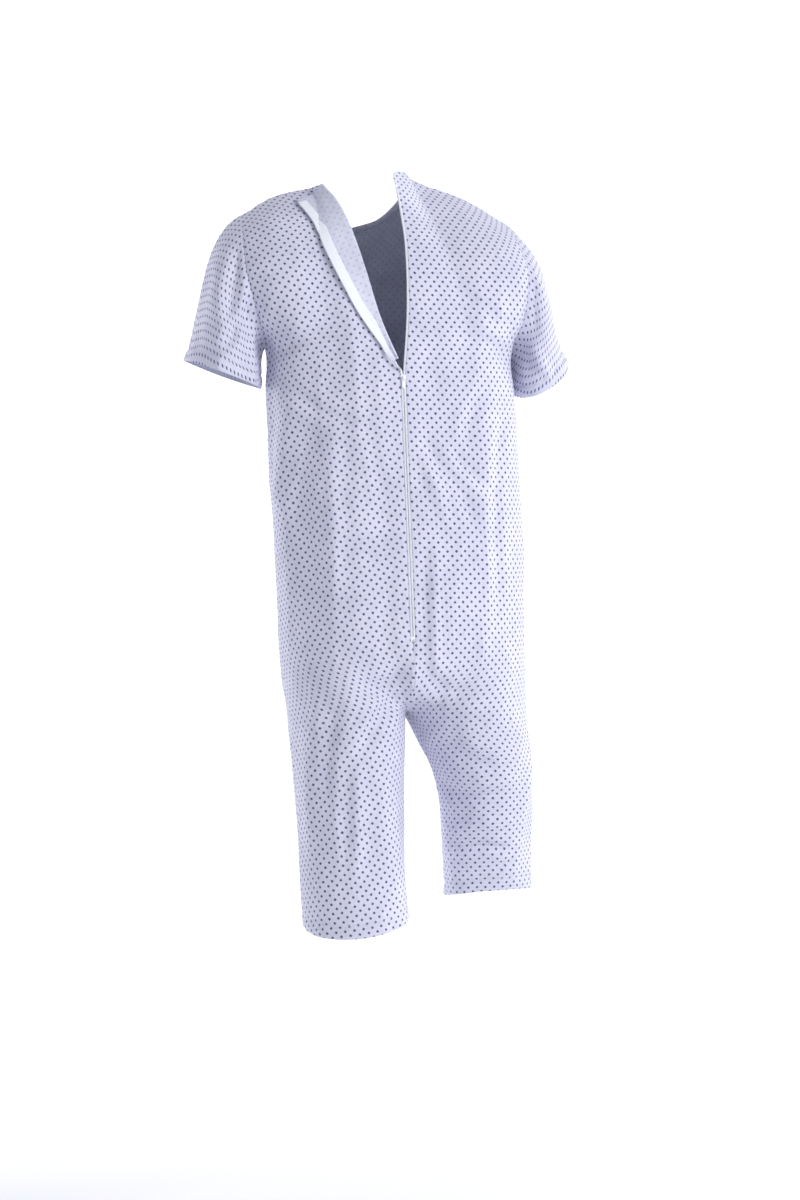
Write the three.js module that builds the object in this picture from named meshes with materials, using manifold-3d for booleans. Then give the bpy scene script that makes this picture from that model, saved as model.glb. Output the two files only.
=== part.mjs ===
// A patient overall with short sleeves, two calf-length legs and a half-open zip down the centre back.
// Millimetres. +Z is up, -Y is the wearer's back (the zip side), +X is the wearer's right.
// The origin is the middle of the neck opening, level with its highest edge.
import * as THREE from "three";
import { mergeVertices } from "three/addons/utils/BufferGeometryUtils.js";
import Module from "manifold-3d";

const wasm = await Module();
wasm.setup();

// ---- Driving dimensions -------------------------------------------------------------------------
const CLOTH = 1.5; // thickness of every cloth solid
const SEAM_GAP = 0.4 * CLOTH; // space between two cloth pieces along a seam
const CLEARANCE = 0.35; // space between layers that lie on each other

const CHEST_HALF_WIDTH = 192; // centre of the torso to its side seam, at the chest
const HIP_HALF_WIDTH = 188;
const UNDERARM_HALF_WIDTH = 188;
const SHOULDER_HALF_WIDTH = 205;
const FRONT_DEPTH = 134; // torso centre to the front, at the chest
const Z_SHOULDER = -73; // shoulder points
const Z_UNDERARM = -274;
const Z_CHEST = -341;
const Z_HIP = -718;
const Z_RISE = -738; // where the legs start to part
const Z_CROTCH = -838;

const ZIP_TOP = [41.5, -118, -319]; // the slider's place on the centre back
const ZIP_END = [54, -132, -718]; // lower end of the zip
const ZIP_SLOT_HALF = 4; // centre line of the zip to each cloth edge
const TAPE_WIDTH = 15;
const TAPE_THICKNESS = 0.6;
const COIL_WIDTH = 2.5;
const COIL_THICKNESS = 1.9;
const COIL_HALF_GAP = 0.9; // centre line of the zip to the edge of each tape
const COIL_EDGE = 0.05; // edge of the tape to its half chain
const SLIDER_WIDTH = 9;
const SLIDER_LENGTH = 11;
const PLATE = 1.1; // thickness of the slider's two plates
const TAB_WIDTH = 5;
const TAB_LENGTH = 17;
const TAB_THICKNESS = 1.2;
const SLIDER_DROP = 3.5; // top of the slider below the level where the zip parts
const PLATE_GAP = 0.5; // slider's upper plate above the cloth
const BRIDGE_HEIGHT = 2.3; // room for the pull tab's bar under the slider's bridge
const BRIDGE_HALF_WIDTH = 1.1;
const BRIDGE_WALL = 0.9;
const STOP_LENGTH = 3;
const STOP_WRAP = 0.3; // how far a top stop is wider and higher than its half chain
const SEAM_WIDTH = 8; // overlocked allowance inside each seam
const SEAM_THICKNESS = 0.8;
const SEAM_DROP = 1.3; // space between a seam's allowance and the cloth, which bends away beside it
const RIDGE_HALF = 2.5; // half width and depth of the allowance under the shoulder's ridge
const RIDGE_DEPTH = CLOTH + 4;
const ARMHOLE_SEAM_WIDTH = 6;
const ARMHOLE_SEAM_IN = 6; // armhole to the middle of its allowance, down the sleeve
const BINDING_WIDTH = 8;
const BINDING_DROP = 3.6; // space between the binding and the cloth, which bends at the shoulder
const HEM_DEPTH = 20;
const THREAD = 0.8;

const SEAT_FULLNESS = 0.13; // how much deeper the seat is than a straight blend of leg and torso
const LEG_DEPTH = 122; // half of the leg, front to back, at the crotch
const HEM_LEFT = { x: -17, y: -50, z: -1153, half: 79, depth: 80, tiltX: 10, tiltY: 18 };
const HEM_RIGHT = { x: 218, y: 70, z: -1125, half: 67, depth: 70, tiltX: -4, tiltY: -7 };
const CUFF_REACH = Math.max(CHEST_HALF_WIDTH, SHOULDER_HALF_WIDTH - 13); // the cuffs clear the body
const CUFF_LEFT = { at: [-25 - CUFF_REACH, -6, -318], lean: 19.5, forward: 4, half: 62, depth: 66 };
const CUFF_RIGHT = { at: [98 + CUFF_REACH, 24, -312], lean: 36, forward: 18, half: 54, depth: 70 };

// ---- Mathematics --------------------------------------------------------------------------------
const V = (p) => new THREE.Vector3(...p);
const mix = THREE.MathUtils.lerp;
const clamp01 = (t) => Math.min(1, Math.max(0, t));
const smooth = (t) => clamp01(t) ** 2 * (3 - 2 * clamp01(t));
const power = (t, p) => Math.sign(t) * Math.abs(t) ** p;
const range = (n) => Array.from({ length: n }, (_, i) => i);

// A smooth curve through rows [key, value, value, ...]: cubic between rows, with shared slopes.
function through(rows) {
  const slopes = rows.map((row, i) => {
    const before = rows[Math.max(i - 1, 0)];
    const after = rows[Math.min(i + 1, rows.length - 1)];
    return row.map((_, k) => (after[k] - before[k]) / (after[0] - before[0]));
  });
  return (key) => {
    let i = rows.findIndex((row) => key <= row[0]);
    if (i < 0) i = rows.length - 1;
    i = Math.max(i, 1);
    const [a, b] = [rows[i - 1], rows[i]];
    const span = b[0] - a[0];
    const t = clamp01((key - a[0]) / span);
    return a.slice(1).map((_, n) => {
      const k = n + 1;
      const [h, g] = [t * t * (3 - 2 * t), t * (1 - t)];
      return mix(a[k], b[k], h) + span * g * ((1 - t) * slopes[i - 1][k] - t * slopes[i][k]);
    });
  };
}

// A smooth path through points, followed from 0 to 1 by its chord length.
function path(points) {
  const rows = [];
  let run = 0;
  points.forEach((p, i) => {
    if (i > 0) run += V(p).distanceTo(V(points[i - 1]));
    rows.push([run, ...p]);
  });
  const curve = through(rows);
  return (t) => V(curve(t * run));
}

// ---- The body of the garment --------------------------------------------------------------------
// Rows of [z, centre x, half width, back depth, front depth].
const torso = through([
  [Z_CROTCH, 70, HIP_HALF_WIDTH - 4, 134, FRONT_DEPTH - 8],
  [Z_HIP, 64, HIP_HALF_WIDTH, -ZIP_END[1], FRONT_DEPTH],
  [-600, 61, CHEST_HALF_WIDTH - 1, 130, FRONT_DEPTH + 3],
  [-477, 54, CHEST_HALF_WIDTH, 125, FRONT_DEPTH + 3],
  [Z_CHEST, 45, CHEST_HALF_WIDTH, 119, FRONT_DEPTH],
  [Z_UNDERARM, 41, UNDERARM_HALF_WIDTH, 117, FRONT_DEPTH - 4],
  [Z_SHOULDER, 18, SHOULDER_HALF_WIDTH, 90, 90],
]);
const ROUNDNESS = 0.84; // 1 is an ellipse, less is squarer

// x and y of the centre back seam: straight along the zip, then under to the crotch.
const backSeam = (z) => {
  const t = (z - ZIP_END[2]) / (ZIP_TOP[2] - ZIP_END[2]);
  const x = mix(ZIP_END[0], ZIP_TOP[0], Math.max(t, -0.4));
  return { x, y: mix(ZIP_END[1], ZIP_TOP[1], Math.max(t, 0)) };
};

// A point of the torso: u runs from the centre seam (0) to the side seam (1).
function torsoPoint(side, back, u, z) {
  const [cx, half, depthBack, depthFront] = torso(z);
  const angle = (u * Math.PI) / 2;
  const seam = backSeam(z);
  const depth = back ? mix(-seam.y, depthBack, smooth(u * 3)) : depthFront;
  const shift = back ? (seam.x - cx) * Math.cos(angle) ** 2 : 0;
  const x = cx + shift + side * half * power(Math.sin(angle), ROUNDNESS);
  return new THREE.Vector3(x, (back ? -1 : 1) * depth * power(Math.cos(angle), ROUNDNESS), z);
}

// Rows of [z, centre x, centre y, half width, half depth] of one leg.
function legRows(side, hem) {
  const [cx, half] = torso(Z_CROTCH);
  const top = [Z_CROTCH, cx + (side * half) / 2, 0, half / 2, LEG_DEPTH];
  const drop = hem.z - Z_CROTCH;
  const row = (s, ease) => [
    Z_CROTCH + s * drop,
    mix(top[1], hem.x, ease),
    mix(0, hem.y, s ** 1.25),
    mix(top[3], hem.half, ease),
    mix(top[4], hem.depth, Math.sin((clamp01(s * 1.15) * Math.PI) / 2)),
  ];
  return [row(1, 1), row(0.72, 0.86), row(0.4, 0.72), row(0.17, 0.4), top];
}
const legs = { "-1": through(legRows(-1, HEM_LEFT)), 1: through(legRows(1, HEM_RIGHT)) };

// A point of a leg: u runs from the inseam (0) to the outer seam (1), s from hem (0) to crotch (1).
function legPoint(side, back, u, s) {
  const hem = side < 0 ? HEM_LEFT : HEM_RIGHT;
  const z = mix(hem.z, Z_CROTCH, s);
  const [cx, cy, half, depth] = legs[side](z);
  const [c, d] = [Math.cos(u * Math.PI), Math.sin(u * Math.PI)];
  const tilt = (1 - s) ** 2 * (hem.tiltX * c - (back ? 1 : -1) * hem.tiltY * d);
  return new THREE.Vector3(cx - side * half * c, cy + (back ? -1 : 1) * depth * d, z + tilt);
}

// A point between leg and torso: t is 0 at the top of the leg and 1 where the torso starts.
function risePoint(side, back, u, t) {
  const angle = (t * Math.PI) / 2;
  const outward = smooth(u / 0.45);
  const weight = mix(Math.sin(angle), smooth(t), outward);
  const point = legPoint(side, back, u, 1).lerp(torsoPoint(side, back, u, Z_RISE), weight);
  point.y *= 1 + SEAT_FULLNESS * Math.sin(Math.PI * t);
  point.z = mix(Z_CROTCH, Z_RISE, mix(1 - Math.cos(angle), t, outward));
  return point;
}

// Height of the yoke's lower edge, from the zip slider's level out to the underarm.
const yokeBase = (u) => mix(ZIP_TOP[2], Z_UNDERARM, smooth(u));

// ---- Edges of the yoke --------------------------------------------------------------------------
const shoulderX = torso(Z_SHOULDER)[0];
const tip = (side) => [shoulderX + side * SHOULDER_HALF_WIDTH, -10, Z_SHOULDER];
const neckSide = { "-1": [-78, 0, -27], 1: [74, 0, -12] };
const FOLD_TOP = [-66, -32, -26]; // where the lapel's fold meets the neckline
const NECK_BACK = [38, -58, 0]; // top of the right half of the back
const NECK_FRONT = [3, 86, -76];

const FOLD_LINE = [[6, -114, -240], [-16, -102, -163], [-33, -81, -101], [-49, -52, -54]];
const frontBase = [torso(ZIP_TOP[2])[0], FRONT_DEPTH, ZIP_TOP[2]];
const edges = {
  back: {
    1: path([ZIP_TOP, [48, -113, -225], [49, -97, -126], [44, -77, -59], NECK_BACK]),
    "-1": path([ZIP_TOP, ...FOLD_LINE, FOLD_TOP]),
  },
  front: path([frontBase, [34, FRONT_DEPTH - 4, -220], [16, 114, -130], NECK_FRONT]),
};
const neckline = {
  back: {
    1: path([NECK_BACK, [58, -36, -3], neckSide[1]]),
    "-1": path([FOLD_TOP, [-74, -16, -26.5], neckSide[-1]]),
  },
  front: {
    1: path([NECK_FRONT, [40, 73, -64], [66, 42, -38], neckSide[1]]),
    "-1": path([NECK_FRONT, [-38, 73, -68], [-68, 42, -47], neckSide[-1]]),
  },
};
// Armhole from the underarm up to the shoulder point, as [share of the way from the underarm's half
// width to the shoulder's, beyond that, y, z].
const ARMHOLE = {
  back: [[0, 15, -52, -245], [0.6, 15.8, -74, -202], [0.9, 16.7, -76, -163], [1, 9, -52, -108]],
  front: [[0, 12, 46, -250], [0.6, 6.8, 70, -210], [0.9, 4.7, 72, -165], [1, 1, 44, -106]],
};
function armhole(side, face) {
  const place = ([share, beyond, y, z]) => {
    const half = mix(UNDERARM_HALF_WIDTH, SHOULDER_HALF_WIDTH, share) + beyond;
    return [torso(z)[0] + side * half, y, z];
  };
  const middle = ARMHOLE[face].map(place);
  return path([torsoPoint(side, true, 1, Z_UNDERARM).toArray(), ...middle, tip(side)]);
}
const shoulderSeam = (side) => {
  const [a, b] = [V(neckSide[side]), V(tip(side))];
  const middle = a.clone().lerp(b, 0.55).add(V([0, -2, 9]));
  return path([a.toArray(), middle.toArray(), b.toArray()]);
};

// Columns of each grid, and how many of them end on the neckline instead of the shoulder seam.
const COLUMNS = 9;
const NECK_COLUMNS = 3;

// How far the middle of the yoke stands out from its edges: backward, forward and up.
const BACK_BULGE = 7;
const FRONT_BULGE = 6;
const RISE_BULGE = 3;

// A point of the yoke, blended between its four edges: v runs from the lower edge (0) up (1).
function yokePatch(side, back) {
  const left = back ? edges.back[side] : edges.front;
  const right = armhole(side, back ? "back" : "front");
  const neck = neckline[back ? "back" : "front"][side];
  const seam = shoulderSeam(side);
  const split = NECK_COLUMNS / COLUMNS;
  const top = (u) => (u < split ? neck(u / split) : seam((u - split) / (1 - split)));
  const base = (u) => torsoPoint(side, back, u, yokeBase(u));
  const corners = [base(0), base(1), top(0), top(1)];
  return (u, v) => {
    const point = base(u).multiplyScalar(1 - v).addScaledVector(top(u), v);
    point.addScaledVector(left(v), 1 - u).addScaledVector(right(v), u);
    point.addScaledVector(corners[0], -(1 - u) * (1 - v)).addScaledVector(corners[1], -u * (1 - v));
    point.addScaledVector(corners[2], -(1 - u) * v).addScaledVector(corners[3], -u * v);
    const middle = 16 * u * (1 - u) * v * (1 - v); // 1 in the middle of the yoke, 0 at its edges
    return point.add(new THREE.Vector3(0, (back ? -BACK_BULGE : FRONT_BULGE) * middle, RISE_BULGE * middle));
  };
}

// ---- Grids of points ----------------------------------------------------------------------------
// Heights of the rows as shares of each stretch.
const LEG_ROWS = [0, 0.2, 0.45, 0.7, 0.88];
const RISE_ROWS = [0, 0.22, 0.45, 0.7, 1];
const ZIP_END_SHARE = (ZIP_END[2] - Z_RISE) / (ZIP_TOP[2] - Z_RISE);
const TORSO_ROWS = [ZIP_END_SHARE - 0.035, ZIP_END_SHARE - 0.012, 0.28, 0.52, 0.76, 1];
const YOKE_ROWS = [0.12, 0.28, 0.45, 0.62, 0.78, 0.9, 1];

function bodyGrid(side, back) {
  const yoke = yokePatch(side, back);
  const rows = [
    ...LEG_ROWS.map((s) => (u) => legPoint(side, back, u, s)),
    ...RISE_ROWS.map((t) => (u) => risePoint(side, back, u, t)),
    ...TORSO_ROWS.map((t) => (u) => torsoPoint(side, back, u, mix(Z_RISE, yokeBase(u), t))),
    ...YOKE_ROWS.map((v) => (u) => yoke(u, v)),
  ];
  return rows.map((row) => range(COLUMNS + 1).map((i) => row(i / COLUMNS)));
}
const ZIP_END_ROW = LEG_ROWS.length + RISE_ROWS.length + 1;
const ZIP_TOP_ROW = LEG_ROWS.length + RISE_ROWS.length + TORSO_ROWS.length - 1;

// The sleeve: a ring of columns from the shoulder point round the back, underarm and front.
const RING = 20;
const SLEEVE_ROWS = [0, 0.16, 0.34, 0.54, 0.76, 1];
function sleeveGrid(side, cuff) {
  const lean = THREE.MathUtils.degToRad(cuff.lean);
  const forward = THREE.MathUtils.degToRad(cuff.forward);
  const axis = V([side * Math.sin(lean), Math.sin(forward), -Math.cos(lean)]).normalize();
  const outward = V([side * Math.cos(lean), 0, Math.sin(lean)]);
  const rear = new THREE.Vector3().crossVectors(outward, axis).multiplyScalar(side);
  if (rear.y > 0) rear.negate();
  const [holeBack, holeFront] = [armhole(side, "back"), armhole(side, "front")];
  const hole = (k) => (k < 0.5 ? holeBack(1 - 2 * k) : holeFront(2 * k - 1));
  return SLEEVE_ROWS.map((t) =>
    range(RING).map((i) => {
      const k = i / RING;
      const angle = 2 * Math.PI * k;
      const start = hole(k).addScaledVector(V([side, 0, -0.3]), SEAM_GAP);
      const end = V(cuff.at)
        .addScaledVector(outward, cuff.half * Math.cos(angle))
        .addScaledVector(rear, cuff.depth * Math.sin(angle));
      const reach = start.distanceTo(end);
      const leave = V([side, 0, -0.55]).normalize().multiplyScalar(reach);
      const arrive = axis.clone().multiplyScalar(reach);
      const [h, g] = [t * t * (3 - 2 * t), t * (1 - t)];
      return start.lerp(end, h).addScaledVector(leave, g * (1 - t)).addScaledVector(arrive, -g * t);
    }),
  );
}

// Normals shared by every grid that meets at a point, facing out.
function sharedNormals(grids) {
  const sums = new Map();
  const key = (p) => p.toArray().map((c) => Math.round(c * 10)).join();
  for (const { points, ring, flip } of grids) {
    const width = points[0].length;
    for (let j = 0; j + 1 < points.length; j++)
      for (let i = 0; i < (ring ? width : width - 1); i++) {
        const next = (i + 1) % width;
        const quad = [points[j][i], points[j][next], points[j + 1][next], points[j + 1][i]];
        const across = quad[2].clone().sub(quad[0]);
        const normal = across.cross(quad[3].clone().sub(quad[1])).multiplyScalar(flip);
        for (const p of quad) {
          const sum = sums.get(key(p)) ?? new THREE.Vector3();
          sums.set(key(p), sum.add(normal));
        }
      }
  }
  const normalAt = (p) => sums.get(key(p)).clone().normalize();
  return grids.map(({ points }) => points.map((row) => row.map(normalAt)));
}

// Moves each first point of the pairs towards the second.
function drawIn(pairs, amount) {
  for (const [edge, inner] of pairs) edge.addScaledVector(inner.clone().sub(edge).normalize(), amount);
}

// ---- Solids -------------------------------------------------------------------------------------
function solidFrom(positions, triangles) {
  const geometry = new THREE.BufferGeometry();
  const coordinates = positions.flatMap((p) => p.toArray());
  geometry.setAttribute("position", new THREE.Float32BufferAttribute(coordinates, 3));
  let volume = 0;
  for (const [a, b, c] of triangles)
    volume += positions[a].dot(positions[b].clone().cross(positions[c]));
  geometry.setIndex(triangles.flatMap(([a, b, c]) => (volume < 0 ? [a, c, b] : [a, b, c])));
  return geometry;
}

// A closed solid between two grids of equal size; a ring joins its last column to its first.
function shell(outer, inner, ring = false) {
  const [height, width] = [outer.length, outer[0].length];
  const positions = [...outer.flat(), ...inner.flat()];
  const out = (j, i) => j * width + (i % width);
  const inn = (j, i) => height * width + out(j, i);
  const triangles = [];
  const quad = (a, b, c, d) => triangles.push([a, b, c], [a, c, d]);
  const across = ring ? width : width - 1;
  for (let j = 0; j + 1 < height; j++)
    for (let i = 0; i < across; i++) {
      quad(out(j, i), out(j, i + 1), out(j + 1, i + 1), out(j + 1, i));
      quad(inn(j, i), inn(j + 1, i), inn(j + 1, i + 1), inn(j, i + 1));
    }
  for (let i = 0; i < across; i++) {
    quad(out(0, i + 1), out(0, i), inn(0, i), inn(0, i + 1));
    quad(out(height - 1, i), out(height - 1, i + 1), inn(height - 1, i + 1), inn(height - 1, i));
  }
  if (!ring)
    for (let j = 0; j + 1 < height; j++) {
      quad(out(j, 0), out(j + 1, 0), inn(j + 1, 0), inn(j, 0));
      quad(out(j + 1, width - 1), out(j, width - 1), inn(j, width - 1), inn(j + 1, width - 1));
    }
  return solidFrom(positions, triangles);
}

const offset = (points, normals, distance) =>
  points.map((row, j) => row.map((p, i) => p.clone().addScaledVector(normals[j][i], distance)));

// A flat strip swept through stations {at, across, out}: from a to b across, low to high outward.
function strip(stations, a, b, low, high, ring = false) {
  const layer = (lift) =>
    stations.map((s, k) =>
      [a, b].map((w) => {
        const share = typeof w === "function" ? w(k / (stations.length - 1)) : w;
        return s.at.clone().addScaledVector(s.across, share).addScaledVector(s.out, lift);
      }),
    );
  if (!ring) return shell(layer(high), layer(low));
  const turned = (grid) => range(2).map((k) => grid.map((row) => row[k]));
  return shell(turned(layer(high)), turned(layer(low)), true);
}

// Stations along an edge of points with their normals, cut shorter by a length at each end.
function stationsAlong(points, normals, cutStart = 0, cutEnd = 0, closed = false) {
  const run = [0];
  for (let k = 1; k < points.length; k++) run.push(run[k - 1] + points[k].distanceTo(points[k - 1]));
  const total = run.at(-1);
  const at = (d) => {
    const k = Math.max(1, run.findIndex((r) => r >= d));
    const t = (d - run[k - 1]) / (run[k] - run[k - 1]);
    const between = ([a, b]) => a.clone().lerp(b, t);
    return [between(points.slice(k - 1, k + 1)), between(normals.slice(k - 1, k + 1)).normalize()];
  };
  const keep = run.filter((r) => r > cutStart + 3 && r < total - cutEnd - 3);
  const placed = (closed ? run : [cutStart, ...keep, total - cutEnd]).map(at);
  return placed.map(([p, n], k) => {
    const last = placed.length - 1;
    const before = closed && k === 0 ? placed[last - 1][0] : placed[Math.max(k - 1, 0)][0];
    const after = closed && k === last ? placed[1][0] : placed[Math.min(k + 1, last)][0];
    const along = after.clone().sub(before).normalize();
    const out = n.clone().addScaledVector(along, -n.dot(along)).normalize();
    return { at: p, out, across: along.clone().cross(out).normalize() };
  });
}

// Stations round a closed line of points.
function ringStations(points, normals) {
  const closed = [[...points, points[0].clone()], [...normals, normals[0]]];
  return stationsAlong(...closed, 0, 0, true).slice(0, -1);
}

function joined(first, second) {
  const [a, b] = [first, second].map((geometry) => {
    const merged = mergeVertices(geometry, 1e-4);
    const mesh = new wasm.Mesh({
      numProp: 3,
      vertProperties: merged.attributes.position.array,
      triVerts: new Uint32Array(merged.index.array),
    });
    return new wasm.Manifold(mesh);
  });
  const mesh = a.add(b).getMesh();
  const geometry = new THREE.BufferGeometry();
  geometry.setAttribute("position", new THREE.BufferAttribute(mesh.vertProperties, 3));
  geometry.setIndex(new THREE.BufferAttribute(mesh.triVerts, 1));
  return geometry;
}

// ---- Pieces -------------------------------------------------------------------------------------
const group = new THREE.Group();
function add(name, geometry, { color, roughness = 0.9, metalness = 0 }) {
  const mesh = new THREE.Mesh(geometry, new THREE.MeshStandardMaterial({ color, roughness, metalness }));
  mesh.name = name;
  group.add(mesh);
  return mesh;
}
const COTTON = { color: "#d6d9ee" };
const SHADED_COTTON = { color: "#cdd1e6" };
const WHITE_TAPE = { color: "#f2f3fb", roughness: 0.7 };
const WHITE_NYLON = { color: "#eef0f8", roughness: 0.45 };
const WHITE_ENAMEL = { color: "#f4f5fa", roughness: 0.3 };
const THREAD_WHITE = { color: "#e9eaf4", roughness: 0.8 };

// Cloth panels: back and front of both sides, on shared seam lines.
const panels = {};
for (const side of [-1, 1])
  for (const back of [true, false]) {
    const points = bodyGrid(side, back);
    panels[`${back}${side}`] = { points, side, back, flip: (back ? 1 : -1) * side };
  }
const list = Object.values(panels);
sharedNormals(list).forEach((normals, k) => (list[k].normals = normals));
const seamLine = (panel, column) => ({
  points: panel.points.map((row) => row.at(column).clone()),
  normals: panel.normals.map((row) => row.at(column).clone()),
});
const seams = {};
const topEdges = {};
for (const [name, panel] of Object.entries(panels)) {
  seams[name] = { centre: seamLine(panel, 0), side: seamLine(panel, -1) };
  topEdges[name] = { points: panel.points.at(-1).map((p) => p.clone()), normals: panel.normals.at(-1) };
}

// Draws the edges of a panel in, to leave half a seam's gap, or half the zip's slot.
function trimPanel({ points, side, back }) {
  points.forEach((row, j) => {
    const besideZip = back && j >= ZIP_END_ROW && (j <= ZIP_TOP_ROW || side > 0);
    drawIn([[row[0], row[1]]], besideZip ? ZIP_SLOT_HALF : SEAM_GAP / 2);
    drawIn([[row.at(-1), row.at(-2)]], SEAM_GAP / 2);
  });
  drawIn(points.at(-1).map((edge, i) => [edge, points.at(-2)[i]]), SEAM_GAP / 2);
}
list.forEach(trimPanel);
const panelSolid = ({ points, normals }) => shell(points, offset(points, normals, -CLOTH));

// The lapel: the top corner of the left back, turned outward along the fold.
const LAPEL_ROWS = [0.16, 0.3, 0.45, 0.6, 0.72, 0.81, 0.89, 1];
const LAPEL_COLUMNS = [0, 0.12, 0.35, 0.6, 0.8, 1];
const LAPEL_SHARE = 0.5; // width of the lapel at the top, as a share of the yoke
const LAPEL_FLARE = 1.45; // how late the lapel widens on its way up
const LAPEL_LIFT = 2.8; // space under the lapel, which the half chain fills
const leftYoke = yokePatch(-1, true);
const lapelAt = (r, q) => leftYoke(q * LAPEL_SHARE * r ** LAPEL_FLARE, r * (1 - 0.1 * q));
function normalOf(surface, r, q) {
  const step = 0.01;
  const across = surface(r, q + step).sub(surface(r, q - step));
  return surface(r + step, q).sub(surface(r - step, q)).cross(across).multiplyScalar(-1).normalize();
}
const facing = Math.sign(normalOf(lapelAt, 0.6, 0.5).y) * -1;
function lapelNormal(r, q) {
  return normalOf(lapelAt, Math.min(r, 0.985), Math.max(q, 0.05)).multiplyScalar(facing);
}
const lapelGrid = (lift) =>
  LAPEL_ROWS.map((r) =>
    LAPEL_COLUMNS.map((q) => {
      const rise = mix(-0.5, LAPEL_LIFT, smooth(q / 0.3)) + lift;
      return lapelAt(r, q).addScaledVector(lapelNormal(r, q), rise);
    }),
  );
const lapelSolid = shell(lapelGrid(CLOTH), lapelGrid(0));
add("back_left", joined(panelSolid(panels["true-1"]), lapelSolid), COTTON);
add("back_right", panelSolid(panels["true1"]), COTTON);
add("front_left", panelSolid(panels["false-1"]), SHADED_COTTON);
add("front_right", panelSolid(panels["false1"]), SHADED_COTTON);

// Sleeves.
const sleeves = {};
for (const [name, side, cuff] of [["left", -1, CUFF_LEFT], ["right", 1, CUFF_RIGHT]]) {
  const points = sleeveGrid(side, cuff);
  const [normals] = sharedNormals([{ points, ring: true, flip: side }]);
  sleeves[name] = { points, normals };
  add(`sleeve_${name}`, shell(points, offset(points, normals, -CLOTH), true), COTTON);
}

// Rows of hem stitching: a thread that lies on the cloth, HEM_DEPTH above the edge.
function hemRing(points, normals) {
  const [hem, next] = offset(points, normals, CLEARANCE);
  const raised = hem.map((p, i) => p.clone().lerp(next[i], HEM_DEPTH / p.distanceTo(next[i])));
  return ringStations(raised, normals[0]);
}
function stitch(name, points, normals) {
  add(name, strip(hemRing(points, normals), -THREAD / 2, THREAD / 2, 0, THREAD, true), THREAD_WHITE);
}
for (const name of ["left", "right"]) {
  const { points, normals } = sleeves[name];
  stitch(`hem_stitch_sleeve_${name}`, [points.at(-1), points.at(-2)], [normals.at(-1), normals.at(-2)]);
}
for (const [name, side] of [["left", -1], ["right", 1]]) {
  const [back, front] = [panels[`true${side}`], panels[`false${side}`]];
  const round = (key) => [0, 1].map((j) => [...back[key][j], ...front[key][j].slice(1, -1).reverse()]);
  stitch(`hem_stitch_leg_${name}`, round("points"), round("normals"));
}

// Overlocked seam allowances: strips on the inside, across each seam.
const SEAM_DEPTH = CLOTH + SEAM_DROP;
function seam(name, line, cutStart, cutEnd, half = SEAM_WIDTH / 2, depth = SEAM_DEPTH) {
  const stations = stationsAlong(line.points, line.normals, cutStart, cutEnd);
  add(name, strip(stations, -half, half, -depth - SEAM_THICKNESS, -depth), THREAD_WHITE);
}
function part({ points, normals }, from, to) {
  return { points: points.slice(from, to), normals: normals.slice(from, to) };
}
const crotchRow = LEG_ROWS.length;
for (const [name, side] of [["left", -1], ["right", 1]]) {
  const { centre, side: outer } = seams[`true${side}`];
  seam(`side_seam_${name}`, part(outer, 0, ZIP_TOP_ROW + 1), 4, 16);
  seam(`inseam_${name}`, part(centre, 0, crotchRow), 4, 8);
  const top = topEdges[`false${side}`];
  seam(`shoulder_seam_${name}`, part(top, NECK_COLUMNS, COLUMNS + 1), 14, 18, RIDGE_HALF, RIDGE_DEPTH);
}
seam("centre_front_seam", part(seams["false1"].centre, crotchRow), 14, 18);
seam("centre_back_seam", part(seams["true1"].centre, crotchRow, ZIP_END_ROW), 14, 14);
for (const name of ["left", "right"]) {
  const { points, normals } = sleeves[name];
  const [edge, next] = points;
  const inside = edge.map((p, i) => p.clone().lerp(next[i], ARMHOLE_SEAM_IN / p.distanceTo(next[i])));
  const stations = ringStations(inside, normals[0]);
  const [half, low] = [ARMHOLE_SEAM_WIDTH / 2, -SEAM_DEPTH - SEAM_THICKNESS];
  add(`armhole_seam_${name}`, strip(stations, -half, half, low, -SEAM_DEPTH, true), THREAD_WHITE);
}

// ---- The zip ------------------------------------------------------------------------------------
// Stations {at, across, out} of one tape's inner edge; the half chain sits on its outward face.
const TAPE_DEPTH = CLOTH + SEAM_DROP;
const TOP_CUT = 14; // the tapes stop below the neck binding
const BELOW_END = 9; // tape past the lower end of the chain
const zipAxis = V(ZIP_TOP).sub(V(ZIP_END)).normalize();
const zipAcross = V([1, 0, 0]).addScaledVector(zipAxis, -zipAxis.x).normalize();
const zipOut = zipAcross.clone().cross(zipAxis);
const chainPoint = (drop) => V(ZIP_TOP).addScaledVector(zipAxis, -drop);
const zipLength = V(ZIP_TOP).distanceTo(V(ZIP_END));

// The closed stretch, from below the bottom stop up to the slider.
const CLOSED_STEPS = 7;
const CLOSED_TOP = 4; // its last station below the level where the zip parts
const CLOSED_STATIONS = CLOSED_STEPS + 2;
function closedStretch(side) {
  const drops = range(CLOSED_STEPS + 1).map((k) => mix(zipLength, CLOSED_TOP, k / CLOSED_STEPS));
  return [zipLength + BELOW_END, ...drops].map((drop) => {
    const at = chainPoint(drop).addScaledVector(zipAcross, side * COIL_HALF_GAP);
    const across = zipAcross.clone().multiplyScalar(side);
    return { at: at.addScaledVector(zipOut, -TAPE_DEPTH), across, out: zipOut };
  });
}

// The right tape goes on up behind the edge of the right back.
function rightTape() {
  const { points, normals } = seams["true1"].centre;
  const besides = panels["true1"].points.map((row, j) => row[1].clone().sub(points[j]).normalize());
  const upper = stationsAlong(points.slice(ZIP_TOP_ROW), besides.slice(ZIP_TOP_ROW), 12, TOP_CUT);
  const onPanel = upper.map(({ at, across, out: beside }) => {
    const out = across.multiplyScalar(Math.sign(across.dot(zipOut)));
    const edge = at.clone().addScaledVector(beside, COIL_HALF_GAP).addScaledVector(out, -TAPE_DEPTH);
    return { at: edge, across: beside, out };
  });
  return [...closedStretch(1), ...onPanel];
}

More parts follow.
